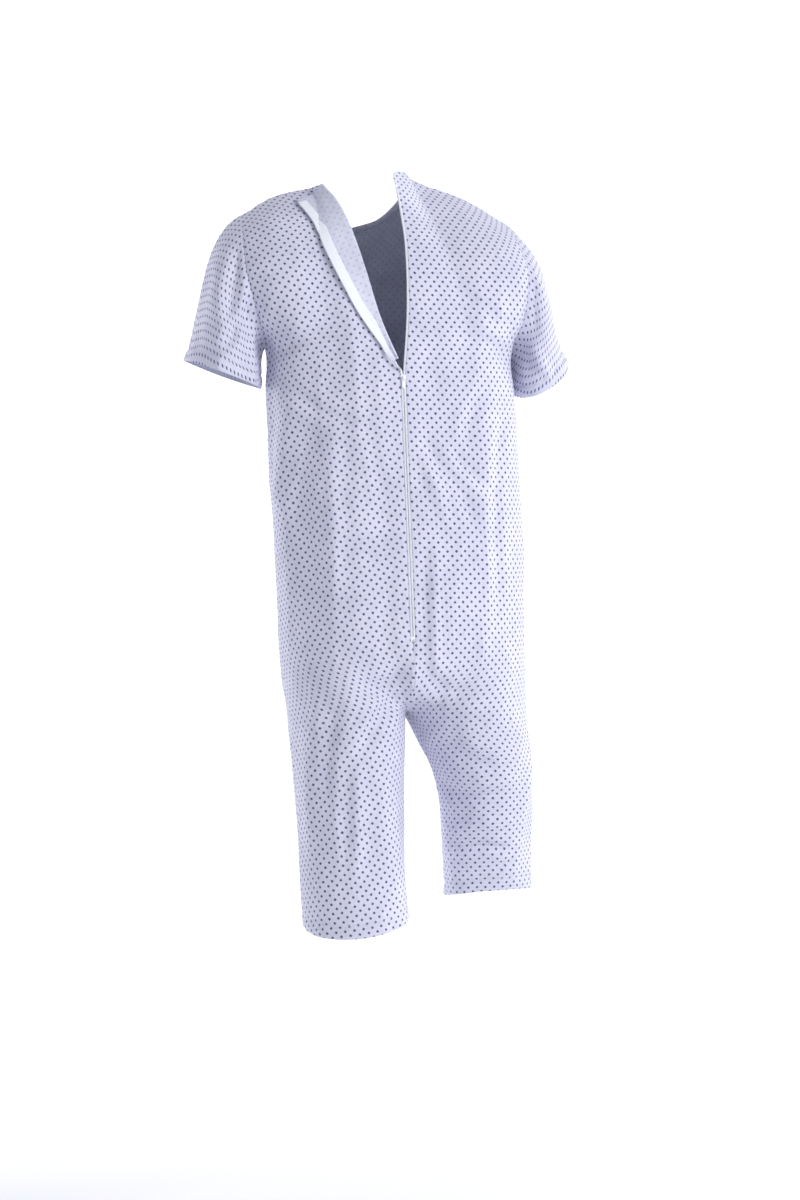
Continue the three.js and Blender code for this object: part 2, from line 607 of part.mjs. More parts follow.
// The left tape turns over above the slider and lies on the wrong side of the lapel.
// The turn, as [way up, share of the way aside, way out, angle turned in degrees].
const TURN = [[7, 0, 4, 40], [13, 0.06, 7, 95], [24, 0.4, 8.5, 145]];
const TAPE_RISE = 2.5; // the tape stands off the lapel where the cloth bends over the shoulder
const COIL_CLEAR = ZIP_SLOT_HALF - COIL_HALF_GAP; // cloth edge to the inner edge of the tape
function leftTape() {
  const lift = LAPEL_LIFT + CLOTH + CLEARANCE + TAPE_THICKNESS;
  const onLapel = [0.24, 0.34, 0.45, 0.56, 0.68, 0.82].map((r) => {
    const out = lapelNormal(r, 1);
    const ahead = lapelAt(r + 0.01, 1).sub(lapelAt(r - 0.01, 1)).normalize();
    const away = out.clone().cross(ahead).normalize();
    const towardsFold = away.multiplyScalar(Math.sign(away.x));
    const raised = lift + TAPE_RISE * smooth((r - 0.6) / 0.25);
    const at = lapelAt(r, 1).addScaledVector(out, raised).addScaledVector(towardsFold, -COIL_CLEAR);
    return { at, across: towardsFold, out: out.multiplyScalar(-1) };
  });
  const closed = closedStretch(-1);
  const [low, high] = [closed.at(-1), onLapel[0]];
  const aside = high.at.clone().sub(low.at);
  aside.addScaledVector(zipAxis, -aside.dot(zipAxis)).addScaledVector(zipOut, -aside.dot(zipOut));
  const turn = TURN.map(([up, share, lifted, degrees]) => {
    const angle = THREE.MathUtils.degToRad(degrees);
    const [c, d] = [Math.cos(angle), Math.sin(angle)];
    const across = zipAcross.clone().multiplyScalar(-c).addScaledVector(zipOut, d);
    const out = zipOut.clone().multiplyScalar(c).addScaledVector(zipAcross, d);
    const at = low.at.clone().addScaledVector(zipAxis, up).addScaledVector(aside, share);
    return { at: at.addScaledVector(zipOut, lifted), across, out };
  });
  return [...closed, ...turn, ...onLapel];
}
const tapeRuns = { left: leftTape(), right: rightTape() };
const NARROW = 2.8; // width of the left tape where it turns over beside the slider
const lastStation = tapeRuns.left.length - 1;
const closedShare = (CLOSED_STATIONS - 1) / lastStation;
const turnShare = (CLOSED_STATIONS + TURN.length) / lastStation;
function leftWidth(t) {
  if (t < turnShare) return mix(TAPE_WIDTH, NARROW, smooth((t / closedShare - 0.88) / 0.1));
  return mix(NARROW, TAPE_WIDTH - COIL_CLEAR / 2, smooth((t - turnShare) / 0.14));
}
const tapeWidths = { left: leftWidth, right: () => TAPE_WIDTH };
for (const name of ["left", "right"]) {
  const run = tapeRuns[name];
  add(`zip_tape_${name}`, strip(run, 0, tapeWidths[name], -TAPE_THICKNESS, 0), WHITE_TAPE);
  const chain = run.slice(1, -1); // the tape is longer than the chain at both ends
  const coil = strip(chain, COIL_EDGE, COIL_WIDTH, CLEARANCE, CLEARANCE + COIL_THICKNESS);
  add(`zip_coil_${name}`, coil, WHITE_NYLON);
}

// Two stations beyond one end of a chain, at two distances from it.
function beyond(from, towards, near, far) {
  const length = from.at.distanceTo(towards.at);
  return [near, far].map((d) => ({ ...from, at: from.at.clone().lerp(towards.at, d / length) }));
}
for (const name of ["left", "right"]) {
  const [chainEnd, tapeEnd] = [tapeRuns[name].at(-2), tapeRuns[name].at(-1)];
  const block = beyond(chainEnd, tapeEnd, CLEARANCE, CLEARANCE + STOP_LENGTH);
  const top = CLEARANCE + COIL_THICKNESS + STOP_WRAP;
  const stop = strip(block, -STOP_WRAP, COIL_WIDTH + STOP_WRAP, 4 * CLEARANCE, top);
  add(`zip_top_stop_${name}`, stop, WHITE_ENAMEL);
}
const stopBlock = beyond(tapeRuns.right[1], tapeRuns.right[0], CLEARANCE, CLEARANCE + STOP_LENGTH);
const stopReach = COIL_WIDTH + 2 * COIL_HALF_GAP;
const bottomStop = strip(stopBlock, -stopReach, COIL_WIDTH, CLEARANCE, COIL_THICKNESS);
add("zip_bottom_stop", bottomStop, WHITE_ENAMEL);

// The slider, in its own frame: x across, y inward, z up the chain, origin on the cloth's surface.
const sliderFrame = new THREE.Matrix4().makeBasis(zipAcross, zipOut.clone().negate(), zipAxis);
const sliderCentre = chainPoint(SLIDER_DROP + SLIDER_LENGTH / 2);
function placed(geometry, at, frame) {
  return geometry.applyMatrix4(frame).translate(at.x, at.y, at.z);
}
// An outline in x and z, drawn out along y from one level to another (outward is negative).
function slab(shape, yFrom, yTo, curveSegments = 4) {
  const options = { depth: yTo - yFrom, bevelEnabled: false, curveSegments };
  const geometry = new THREE.ExtrudeGeometry(shape, options);
  return onlyPositions(geometry.rotateX(Math.PI / 2).translate(0, yTo, 0));
}
function onlyPositions(geometry) {
  geometry.deleteAttribute("normal");
  geometry.deleteAttribute("uv");
  return mergeVertices(geometry, 1e-4);
}
function plateShape() {
  const [wide, narrow, half] = [SLIDER_WIDTH / 2, SLIDER_WIDTH * 0.36, SLIDER_LENGTH / 2];
  const shape = new THREE.Shape();
  shape.moveTo(-narrow, -half);
  shape.lineTo(narrow, -half);
  shape.quadraticCurveTo(narrow + 0.2, 0, wide, half * 0.35);
  shape.quadraticCurveTo(wide, half, wide * 0.6, half);
  shape.lineTo(-wide * 0.6, half);
  shape.quadraticCurveTo(-wide, half, -wide, half * 0.35);
  shape.quadraticCurveTo(-narrow - 0.2, 0, -narrow, -half);
  return shape;
}
function rectangle(x0, z0, x1, z1) {
  const shape = new THREE.Shape();
  shape.moveTo(x0, z0).lineTo(x1, z0).lineTo(x1, z1).lineTo(x0, z1).closePath();
  return shape;
}
const plateTop = -PLATE_GAP - PLATE;
const underTape = TAPE_DEPTH + TAPE_THICKNESS + CLEARANCE;
const wedgeHalf = COIL_HALF_GAP - CLEARANCE;
const BRIDGE_HALF_LENGTH = 3;
const BITE = 0.4; // how far joined solids run into each other
function sliderBody() {
  const upper = slab(plateShape(), plateTop, -PLATE_GAP);
  const lower = slab(plateShape(), underTape, underTape + PLATE);
  const wedgeShape = rectangle(-wedgeHalf, 1, wedgeHalf, SLIDER_LENGTH / 2 - BITE);
  const wedge = slab(wedgeShape, -PLATE_GAP - BITE, underTape + BITE);
  const [a, b, h] = [BRIDGE_HALF_LENGTH, BRIDGE_WALL, BRIDGE_HEIGHT];
  const arch = new THREE.Shape(); // x is along the chain, y is outward
  arch.moveTo(-a, -0.3).lineTo(-a, h * 0.6).quadraticCurveTo(-a, h + b, -a + 1.8, h + b);
  arch.lineTo(a - 1.8, h + b).quadraticCurveTo(a, h + b, a, h * 0.6).lineTo(a, -0.3);
  arch.lineTo(a - b, -0.3).lineTo(a - b, h).lineTo(-a + b, h).lineTo(-a + b, -0.3).closePath();
  const options = { depth: 2 * BRIDGE_HALF_WIDTH, bevelEnabled: false, curveSegments: 4 };
  const bridge = new THREE.ExtrudeGeometry(arch, options);
  const turned = new THREE.Matrix4().makeBasis(V([0, 0, 1]), V([0, -1, 0]), V([1, 0, 0]));
  bridge.applyMatrix4(turned).translate(-BRIDGE_HALF_WIDTH, plateTop, 0);
  const bridgeSolid = onlyPositions(bridge);
  return joined(joined(joined(upper, wedge), lower), bridgeSolid);
}
add("zip_slider_body", placed(sliderBody(), sliderCentre, sliderFrame), WHITE_ENAMEL);

// The pull tab hangs straight down from its bar under the bridge.
const PIVOT_UP = 1.2; // pivot above the middle of the slider
const EYE_HALF_WIDTH = BRIDGE_HALF_WIDTH + CLEARANCE;
const EYE_LENGTH = PIVOT_UP + BRIDGE_HALF_LENGTH + CLEARANCE + 0.4;
const pivotOut = PLATE_GAP + PLATE + BRIDGE_HEIGHT / 2;
const pivot = sliderCentre.clone().addScaledVector(zipAxis, PIVOT_UP).addScaledVector(zipOut, pivotOut);
function pullTab() {
  const [half, bar] = [TAB_WIDTH / 2, TAB_THICKNESS / 2];
  const outline = new THREE.Shape();
  outline.moveTo(-half, bar - 0.4).lineTo(-half, -TAB_LENGTH + half);
  outline.absarc(0, -TAB_LENGTH + half, half, Math.PI, 2 * Math.PI, false);
  outline.lineTo(half, bar - 0.4).lineTo(half - 0.4, bar).lineTo(-half + 0.4, bar).closePath();
  const eye = new THREE.Path();
  eye.moveTo(-EYE_HALF_WIDTH, -bar).lineTo(EYE_HALF_WIDTH, -bar);
  eye.lineTo(EYE_HALF_WIDTH, -EYE_LENGTH).lineTo(-EYE_HALF_WIDTH, -EYE_LENGTH).closePath();
  outline.holes.push(eye);
  return slab(outline, -bar, bar, 6);
}
const hanging = V([0, 0, 1]).addScaledVector(zipAcross, -zipAcross.z).normalize();
const tabInward = hanging.clone().cross(zipAcross);
const tabFrame = new THREE.Matrix4().makeBasis(zipAcross, tabInward, hanging);
add("zip_pull_tab", placed(pullTab(), pivot, tabFrame), WHITE_ENAMEL);

// ---- The neck binding ---------------------------------------------------------------------------
// Runs inside the neckline, from the right half of the back round the front to the lapel's fold.
function neckEdge(side, back) {
  const { points, normals } = topEdges[`${back}${side}`];
  const below = panels[`${back}${side}`].points.at(-2);
  return range(NECK_COLUMNS + 1).map((i) => ({ at: points[i], normal: normals[i], below: below[i] }));
}
const edge = [
  ...neckEdge(1, true),
  ...neckEdge(1, false).reverse().slice(1),
  ...neckEdge(-1, false).slice(1),
  ...neckEdge(-1, true).reverse().slice(1),
];
const bindingStations = edge.map(({ at, normal, below }, k) => {
  const [before, after] = [edge[Math.max(k - 1, 0)].at, edge[Math.min(k + 1, edge.length - 1)].at];
  const along = after.clone().sub(before).normalize();
  const down = below.clone().sub(at);
  down.addScaledVector(along, -down.dot(along)).normalize();
  const out = along.cross(down);
  return { at, across: down, out: out.multiplyScalar(Math.sign(out.dot(normal))) };
});
const bindingDepth = CLOTH + BINDING_DROP;
const bindingLow = -bindingDepth - SEAM_THICKNESS;
const bindingRun = bindingStations.slice(0, -1);
add("neck_binding", strip(bindingRun, 0.5, BINDING_WIDTH, bindingLow, -bindingDepth), COTTON);

export default group;
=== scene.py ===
"""A worn patient overall: printed cotton panels, short sleeves, a half-open back zip and its stage."""
import functools
import math

import bmesh
import bpy
import numpy as np

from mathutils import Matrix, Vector


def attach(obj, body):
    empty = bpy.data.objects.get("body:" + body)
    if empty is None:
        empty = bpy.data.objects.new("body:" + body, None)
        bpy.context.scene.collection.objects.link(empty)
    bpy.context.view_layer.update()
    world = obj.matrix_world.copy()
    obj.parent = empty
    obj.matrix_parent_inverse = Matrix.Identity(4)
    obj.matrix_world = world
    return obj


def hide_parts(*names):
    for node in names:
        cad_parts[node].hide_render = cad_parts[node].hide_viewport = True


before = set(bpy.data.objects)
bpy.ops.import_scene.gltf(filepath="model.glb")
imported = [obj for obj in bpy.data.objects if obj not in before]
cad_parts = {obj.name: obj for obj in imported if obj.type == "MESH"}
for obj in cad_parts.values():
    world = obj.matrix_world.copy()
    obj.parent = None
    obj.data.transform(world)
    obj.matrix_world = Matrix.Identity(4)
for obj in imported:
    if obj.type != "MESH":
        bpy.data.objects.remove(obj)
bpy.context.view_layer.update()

bl_info = {
    "name": "Patient overall",
    "version": (1, 0, 0),
    "blender": (4, 5, 0),
    "location": "3D View > Sidebar > Overall",
    "description": "Builds the cloth, zip, seams and stage of a worn patient overall",
    "category": "Add Mesh",
}

MM = 0.001

# ---- Settings -----------------------------------------------------------------------------------


class OverallSettings(bpy.types.PropertyGroup):
    """Sizes that a user may change before the pieces are built."""

    print_pitch: bpy.props.FloatProperty(
        name="Print pitch", description="Side of the square that the print repeats in",
        default=0.014, unit="LENGTH")
    dot_size: bpy.props.FloatProperty(
        name="Dot size", description="Width of one navy dot", default=0.0046, unit="LENGTH")
    pale_dot_size: bpy.props.FloatProperty(
        name="Pale dot size", description="Width of one pale dot", default=0.0024, unit="LENGTH")
    fold_depth: bpy.props.FloatProperty(
        name="Fold depth", description="Depth of the soft hanging folds", default=0.0064, unit="LENGTH")
    cloth_thickness: bpy.props.FloatProperty(
        name="Cloth", description="Thickness of the cloth", default=0.0006, unit="LENGTH")
    mesh_step: bpy.props.FloatProperty(
        name="Mesh step", description="Distance between mesh points on the cloth", default=0.0044,
        unit="LENGTH")
    cotton: bpy.props.StringProperty(
        name="Cotton", description="Ground colour of the cotton, as sRGB hex", default="#DBDAED")
    cotton_shade: bpy.props.StringProperty(
        name="Cotton threads", description="Darker threads of the cotton, as sRGB hex", default="#C6C7DB")
    wrong_side: bpy.props.StringProperty(
        name="Wrong side", description="Unprinted side of the cotton, as sRGB hex", default="#DDDFF0")
    navy_ink: bpy.props.StringProperty(
        name="Navy ink", description="Colour of the navy dots, as sRGB hex", default="#34366A")
    pale_ink: bpy.props.StringProperty(
        name="Pale ink", description="Colour of the pale dots, as sRGB hex", default="#A9A6AC")


def settings():
    """The overall's settings on the current scene."""
    return bpy.context.scene.overall_settings


# ---- Curves, in millimetres like the sizes below ------------------------------------------------


def mix(a, b, t):
    """a + (b - a) t."""
    return a + (b - a) * t


def smooth(t):
    """0 below 0, 1 above 1, and 3t^2 - 2t^3 between."""
    t = np.clip(t, 0, 1)
    return t * t * (3 - 2 * t)


def near(distance, width=1):
    """exp(-(distance / width)^2)."""
    return np.exp(-((distance / width) ** 2))


def unit(v):
    """v / |v|."""
    return v / np.maximum(np.linalg.norm(v, axis=-1, keepdims=True), 1e-12)


def through(rows):
    """A cubic curve through rows (key, values...), with the slope of the neighbours at each row."""
    rows = np.array(rows, float)
    index = np.arange(len(rows))
    before, after = np.maximum(index - 1, 0), np.minimum(index + 1, len(rows) - 1)
    slopes = (rows[after] - rows[before]) / (rows[after, :1] - rows[before, :1])

    def at(key):
        key = np.asarray(key, float)
        i = np.clip(np.searchsorted(rows[:, 0], key), 1, len(rows) - 1)
        span = (rows[i, 0] - rows[i - 1, 0])[..., None]
        t = np.clip((key - rows[i - 1, 0])[..., None] / span, 0, 1)
        h, g = t * t * (3 - 2 * t), t * (1 - t)
        bend = (1 - t) * slopes[i - 1, 1:] - t * slopes[i, 1:]
        return mix(rows[i - 1, 1:], rows[i, 1:], h) + span * g * bend

    return at


def path(points):
    """A smooth path through points, followed from 0 to 1 by chord length."""
    points = np.array(points, float)
    run = np.concatenate([[0], np.cumsum(np.linalg.norm(np.diff(points, axis=0), axis=1))])
    curve = through(np.column_stack([run, points]))
    return lambda t: curve(np.asarray(t, float) * run[-1])


def lattice_noise(points, seed):
    """Smooth noise from -1 to 1 on an (n, 3) array: a hash at each lattice corner, blended."""
    cell = np.floor(points).astype(np.int64)
    t = points - cell
    t = t * t * t * (t * (6 * t - 15) + 10)
    total = np.zeros(points.shape[:-1])
    for corner in np.ndindex(2, 2, 2):
        c = cell + np.array(corner)
        h = c[..., 0] * 374761393 + c[..., 1] * 668265263 + c[..., 2] * 2147483647 + seed * 974634777
        h = (h ^ (h >> 13)) * 1274126177 & 0xFFFFFFFF
        value = ((h ^ (h >> 16)) & 0xFFFF) / 32767.5 - 1
        weight = np.prod(np.where(np.array(corner) == 1, t, 1 - t), axis=-1)
        total += value * weight
    return total


# ---- Shape of the garment, in millimetres -------------------------------------------------------

CHEST_HALF_WIDTH = 192
HIP_HALF_WIDTH = 188
UNDERARM_HALF_WIDTH = 188
SHOULDER_HALF_WIDTH = 205
FRONT_DEPTH = 134
Z_SHOULDER, Z_UNDERARM, Z_CHEST = -73, -274, -341
Z_HIP, Z_RISE, Z_CROTCH = -718, -738, -838
ZIP_TOP = np.array([41.5, -118, -319])
ZIP_END = np.array([54.0, -132, -718])
ZIP_SLOT_HALF = 4.0
TAPE_WIDTH = 15.0
SEAT_FULLNESS = 0.13
LEG_DEPTH = 122
ROUNDNESS = 0.84
HEM_LEFT = {"x": -17, "y": -50, "z": -1153, "half": 79, "depth": 80, "tilt_x": 10, "tilt_y": 18}
HEM_RIGHT = {"x": 218, "y": 70, "z": -1125, "half": 67, "depth": 70, "tilt_x": -4, "tilt_y": -7}
CUFF_LEFT = {"at": (-217, -6, -318), "lean": 19.5, "forward": 4, "half": 62, "depth": 66}
CUFF_RIGHT = {"at": (290, 24, -312), "lean": 36, "forward": 18, "half": 54, "depth": 70}
HEM_DEPTH = 20
LEFT, RIGHT = -1, 1

torso = through([
    (Z_CROTCH, 70, HIP_HALF_WIDTH - 4, 134, FRONT_DEPTH - 8),
    (Z_HIP, 64, HIP_HALF_WIDTH, -ZIP_END[1], FRONT_DEPTH),
    (-600, 61, CHEST_HALF_WIDTH - 1, 130, FRONT_DEPTH + 3),
    (-477, 54, CHEST_HALF_WIDTH, 125, FRONT_DEPTH + 3),
    (Z_CHEST, 45, CHEST_HALF_WIDTH, 119, FRONT_DEPTH),
    (Z_UNDERARM, 41, UNDERARM_HALF_WIDTH, 117, FRONT_DEPTH - 4),
    (Z_SHOULDER, 18, SHOULDER_HALF_WIDTH, 90, 90),
])


def back_seam(z):
    """x and y of the centre back seam at height z."""
    t = (z - ZIP_END[2]) / (ZIP_TOP[2] - ZIP_END[2])
    x = mix(ZIP_END[0], ZIP_TOP[0], np.maximum(t, -0.4))
    return x, mix(ZIP_END[1], ZIP_TOP[1], np.maximum(t, 0))


def torso_point(side, back, u, z):
    """Superellipse round the torso: u is 0 at the centre seam and 1 at the side seam."""
    u, z = np.broadcast_arrays(np.asarray(u, float), np.asarray(z, float))
    cx, half, depth_back, depth_front = np.moveaxis(torso(z), -1, 0)
    angle = u * math.pi / 2
    seam_x, seam_y = back_seam(z)
    sine, cosine = np.sin(angle) ** ROUNDNESS, np.clip(np.cos(angle), 0, 1) ** ROUNDNESS
    x = cx + side * half * sine
    if back:
        x = x + (seam_x - cx) * np.cos(angle) ** 2
        return np.stack([x, -mix(-seam_y, depth_back, smooth(u * 3)) * cosine, z], -1)
    return np.stack([x, depth_front * cosine, z], -1)


def leg_rows(side, hem):
    """Centre and half sizes of a leg at its rows, from the crotch to the hem."""
    cx, half = torso(Z_CROTCH)[:2]
    top = np.array([cx + side * half / 2, 0, half / 2, LEG_DEPTH])
    rows = []
    for s, ease in ((1, 1), (0.72, 0.86), (0.4, 0.72), (0.17, 0.4), (0, 0)):
        depth_share = math.sin(min(1, s * 1.15) * math.pi / 2)
        rows.append((
            mix(Z_CROTCH, hem["z"], s), mix(top[0], hem["x"], ease), mix(0, hem["y"], s ** 1.25),
            mix(top[2], hem["half"], ease), mix(top[3], hem["depth"], depth_share)))
    return rows


LEGS = {side: through(leg_rows(side, hem)) for side, hem in ((LEFT, HEM_LEFT), (RIGHT, HEM_RIGHT))}


def leg_point(side, back, u, s):
    """Half a leg: u goes from the inseam to the outer seam, s from the hem (0) to the crotch (1)."""
    u, s = np.broadcast_arrays(np.asarray(u, float), np.asarray(s, float))
    hem = HEM_LEFT if side == LEFT else HEM_RIGHT
    z = mix(hem["z"], Z_CROTCH, s)
    cx, cy, half, depth = np.moveaxis(LEGS[side](z), -1, 0)
    c, d = np.cos(u * math.pi), np.sin(u * math.pi)
    way = -1 if back else 1
    tilt = (1 - s) ** 2 * (hem["tilt_x"] * c + way * hem["tilt_y"] * d)
    return np.stack([cx - side * half * c, cy + way * depth * d, z + tilt], -1)


def rise_point(side, back, u, t):
    """Between leg and torso: t is 0 at the top of the leg and 1 where the torso starts."""
    u, t = np.broadcast_arrays(np.asarray(u, float), np.asarray(t, float))
    angle = t * math.pi / 2
    outward = smooth(u / 0.45)
    weight = mix(np.sin(angle), smooth(t), outward)[..., None]
    point = mix(leg_point(side, back, u, 1.0), torso_point(side, back, u, Z_RISE), weight)
    point[..., 1] *= 1 + SEAT_FULLNESS * np.sin(math.pi * t)
    point[..., 2] = mix(Z_CROTCH, Z_RISE, mix(1 - np.cos(angle), t, outward))
    return point


def yoke_base(u):
    """Height of the yoke's lower edge, from the zip's top (0) to the underarm (1)."""
    return mix(ZIP_TOP[2], Z_UNDERARM, smooth(u))


SHOULDER_X = torso(Z_SHOULDER)[0]
TIP = {side: (SHOULDER_X + side * SHOULDER_HALF_WIDTH, -10, Z_SHOULDER) for side in (LEFT, RIGHT)}
NECK_SIDE = {LEFT: (-78, 0, -27), RIGHT: (74, 0, -12)}
FOLD_TOP, NECK_BACK, NECK_FRONT = (-66, -32, -26), (38, -58, 0), (3, 86, -76)
BACK_EDGE = {
    RIGHT: path([ZIP_TOP, (48, -113, -225), (49, -97, -126), (44, -77, -59), NECK_BACK]),
    LEFT: path([ZIP_TOP, (6, -114, -240), (-16, -102, -163), (-33, -81, -101), (-49, -52, -54), FOLD_TOP]),
}
FRONT_EDGE = path([
    (torso(ZIP_TOP[2])[0], FRONT_DEPTH, ZIP_TOP[2]),
    (34, FRONT_DEPTH - 4, -220), (16, 114, -130), NECK_FRONT])
NECKLINE = {
    (RIGHT, True): path([NECK_BACK, (58, -36, -3), NECK_SIDE[RIGHT]]),
    (LEFT, True): path([FOLD_TOP, (-74, -16, -26.5), NECK_SIDE[LEFT]]),
    (RIGHT, False): path([NECK_FRONT, (40, 73, -64), (66, 42, -38), NECK_SIDE[RIGHT]]),
    (LEFT, False): path([NECK_FRONT, (-38, 73, -68), (-68, 42, -47), NECK_SIDE[LEFT]]),
}
ARMHOLE = {
    True: ((203, -52, -245), (214, -74, -202), (220, -76, -163), (214, -52, -108)),
    False: ((200, 46, -250), (205, 70, -210), (208, 72, -165), (206, 44, -106)),
}
NECK_SHARE = 1 / 3


def armhole(side, back):
    """Armhole edge from the underarm up to the tip of the shoulder."""
    middle = [(torso(z)[0] + side * half, y, z) for half, y, z in ARMHOLE[back]]
    return path([torso_point(side, True, 1.0, Z_UNDERARM), *middle, TIP[side]])


def shoulder_seam(side):
    """Shoulder seam from the neck to the tip of the shoulder."""
    a, b = np.array(NECK_SIDE[side], float), np.array(TIP[side], float)
    return path([a, mix(a, b, 0.55) + (0, -2, 9), b])


def yoke_point(side, back, u, v):
    """Coons patch between the lower edge, the centre edge, the armhole and the neck with the shoulder."""
    u, v = np.broadcast_arrays(np.asarray(u, float), np.asarray(v, float))
    left = BACK_EDGE[side] if back else FRONT_EDGE
    neck, seam, hole = NECKLINE[side, back], shoulder_seam(side), armhole(side, back)

    def top(w):
        on_neck = neck(np.clip(w / NECK_SHARE, 0, 1))
        on_seam = seam(np.clip((w - NECK_SHARE) / (1 - NECK_SHARE), 0, 1))
        return np.where((w < NECK_SHARE)[..., None], on_neck, on_seam)

    def base(w):
        return torso_point(side, back, w, yoke_base(w))

    zero, one = np.zeros_like(u), np.ones_like(u)
    a, b = u[..., None], v[..., None]
    point = base(u) * (1 - b) + top(u) * b + left(v) * (1 - a) + hole(v) * a
    point = point - base(zero) * (1 - a) * (1 - b) - base(one) * a * (1 - b)
    point = point - top(zero) * (1 - a) * b - top(one) * a * b
    bulge = 16 * a * (1 - a) * b * (1 - b)
    return point + bulge * np.array([0, -7 if back else 6, 3])


# ---- Grids --------------------------------------------------------------------------------------
# A grid is an array of rows (hem to shoulder) by columns (centre or inseam to side) by 3.

ZIP_END_SHARE = (ZIP_END[2] - Z_RISE) / (ZIP_TOP[2] - Z_RISE)
DENSE = 4  # points worked out for each column before the row is respaced
BESIDE = np.array([0.2, 0.5])  # closer columns beside a seam, as shares of a step


def respaced(row, start):
    """The same row with even columns from a cut-off start, a third of them before the neck's share,
    and two closer ones beside each end for the roll of the seam."""
    run = np.concatenate([[0], np.cumsum(np.linalg.norm(np.diff(row, axis=0), axis=1))])
    count = (len(row) - 1) // DENSE
    neck = run[int(round((len(row) - 1) * NECK_SHARE))]
    third = count // 3
    stops = np.concatenate([
        np.linspace(min(start, neck * 0.6), neck, third + 1)[:-1],
        np.linspace(neck, run[-1], count - third + 1)])
    first, last = stops[1] - stops[0], stops[-1] - stops[-2]
    stops = np.concatenate([
        stops[:1], stops[0] + first * BESIDE, stops[1:-1], stops[-1] - last * BESIDE[::-1], stops[-1:]])
    return np.stack([np.interp(stops, run, row[:, k]) for k in range(3)], -1)


@functools.lru_cache(maxsize=None)
def row_steps():
    """Steps up each stretch of a panel, closer together at the hem and at the shoulder."""
    step = settings().mesh_step / MM
    legs, rise, trunk, yoke = (int(round(length / step)) for length in (315, 170, 420, 262))
    leg, top = np.linspace(0, 1, legs + 1)[:-1], np.linspace(0, 1, yoke + 1)
    return {
        "leg": np.concatenate([leg[:1], BESIDE / legs, leg[1:]]),
        "rise": np.linspace(0, 1, rise + 1)[:-1],
        "trunk": np.linspace(0, 1, trunk + 1)[:-1],
        "yoke": np.concatenate([top[:-1], 1 - BESIDE[::-1] / yoke, top[-1:]]),
    }


def row_marks():
    """First rows of the rise, the trunk, the zip and the yoke."""
    steps = row_steps()
    rise = len(steps["leg"])
    trunk = rise + len(steps["rise"])
    zip_end = trunk + int(len(steps["trunk"]) * (ZIP_END_SHARE - 0.012))
    return rise, trunk, zip_end, trunk + len(steps["trunk"])


def body_grid(side, back):
    """Rows from the hem up: leg, rise, trunk and yoke, with the zip's slot cut off the back."""
    steps = {name: values[:, None] for name, values in row_steps().items()}
    columns = 3 * int(round(280 / (settings().mesh_step / MM) / 3))
    u = np.linspace(0, 1, columns * DENSE + 1)[None, :]
    rows = np.concatenate([
        leg_point(side, back, u, steps["leg"]),
        rise_point(side, back, u, steps["rise"]),
        torso_point(side, back, u, mix(Z_RISE, yoke_base(u), steps["trunk"])),
        yoke_point(side, back, u, steps["yoke"]),
    ])
    start = np.zeros(len(rows))
    if back:
        _, _, zip_end, yoke = row_marks()
        start[zip_end:] = ZIP_SLOT_HALF
        if side == LEFT:
            start[yoke:] *= 1 - smooth(row_steps()["yoke"] / 0.12)
    return softened(np.stack([respaced(row, cut) for row, cut in zip(rows, start)]))


def softened(grid):
    """Rounds the joins between leg, rise and torso by averaging each column along its length."""
    crotch, trunk, _, yoke = row_marks()
    rows, columns = np.arange(len(grid))[:, None], np.arange(grid.shape[1])[None, :]
    rise = trunk - crotch
    near_crotch = near(rows - crotch - rise * 0.4, rise * 1.1)
    near_yoke = 0.5 * near(rows - yoke, 0.08 * (yoke - trunk))
    inside = smooth((grid.shape[1] - 1 - columns) / 12) * smooth(columns / 10)
    zip_side = np.where(rows >= crotch, 1 - smooth(columns / 8), 0)
    weight = np.clip(near_crotch + near_yoke * inside, 0, 1) * (1 - zip_side)
    weight = 0.8 * weight[..., None]
    weight[:3], weight[-3:] = 0, 0
    result = grid.copy()
    for _ in range(70):
        result = mix(result, 0.5 * (np.roll(result, 1, 0) + np.roll(result, -1, 0)), weight)
    return result


def normals_of(grid, facing):
    """Unit normals of a grid, turned to face out: facing is +1 or -1."""
    return unit(facing * np.cross(np.gradient(grid, axis=1), np.gradient(grid, axis=0)))


# ---- Folds --------------------------------------------------------------------------------------
# Each crease is its points as (x, z) on one face, its half width and its depth, in millimetres.

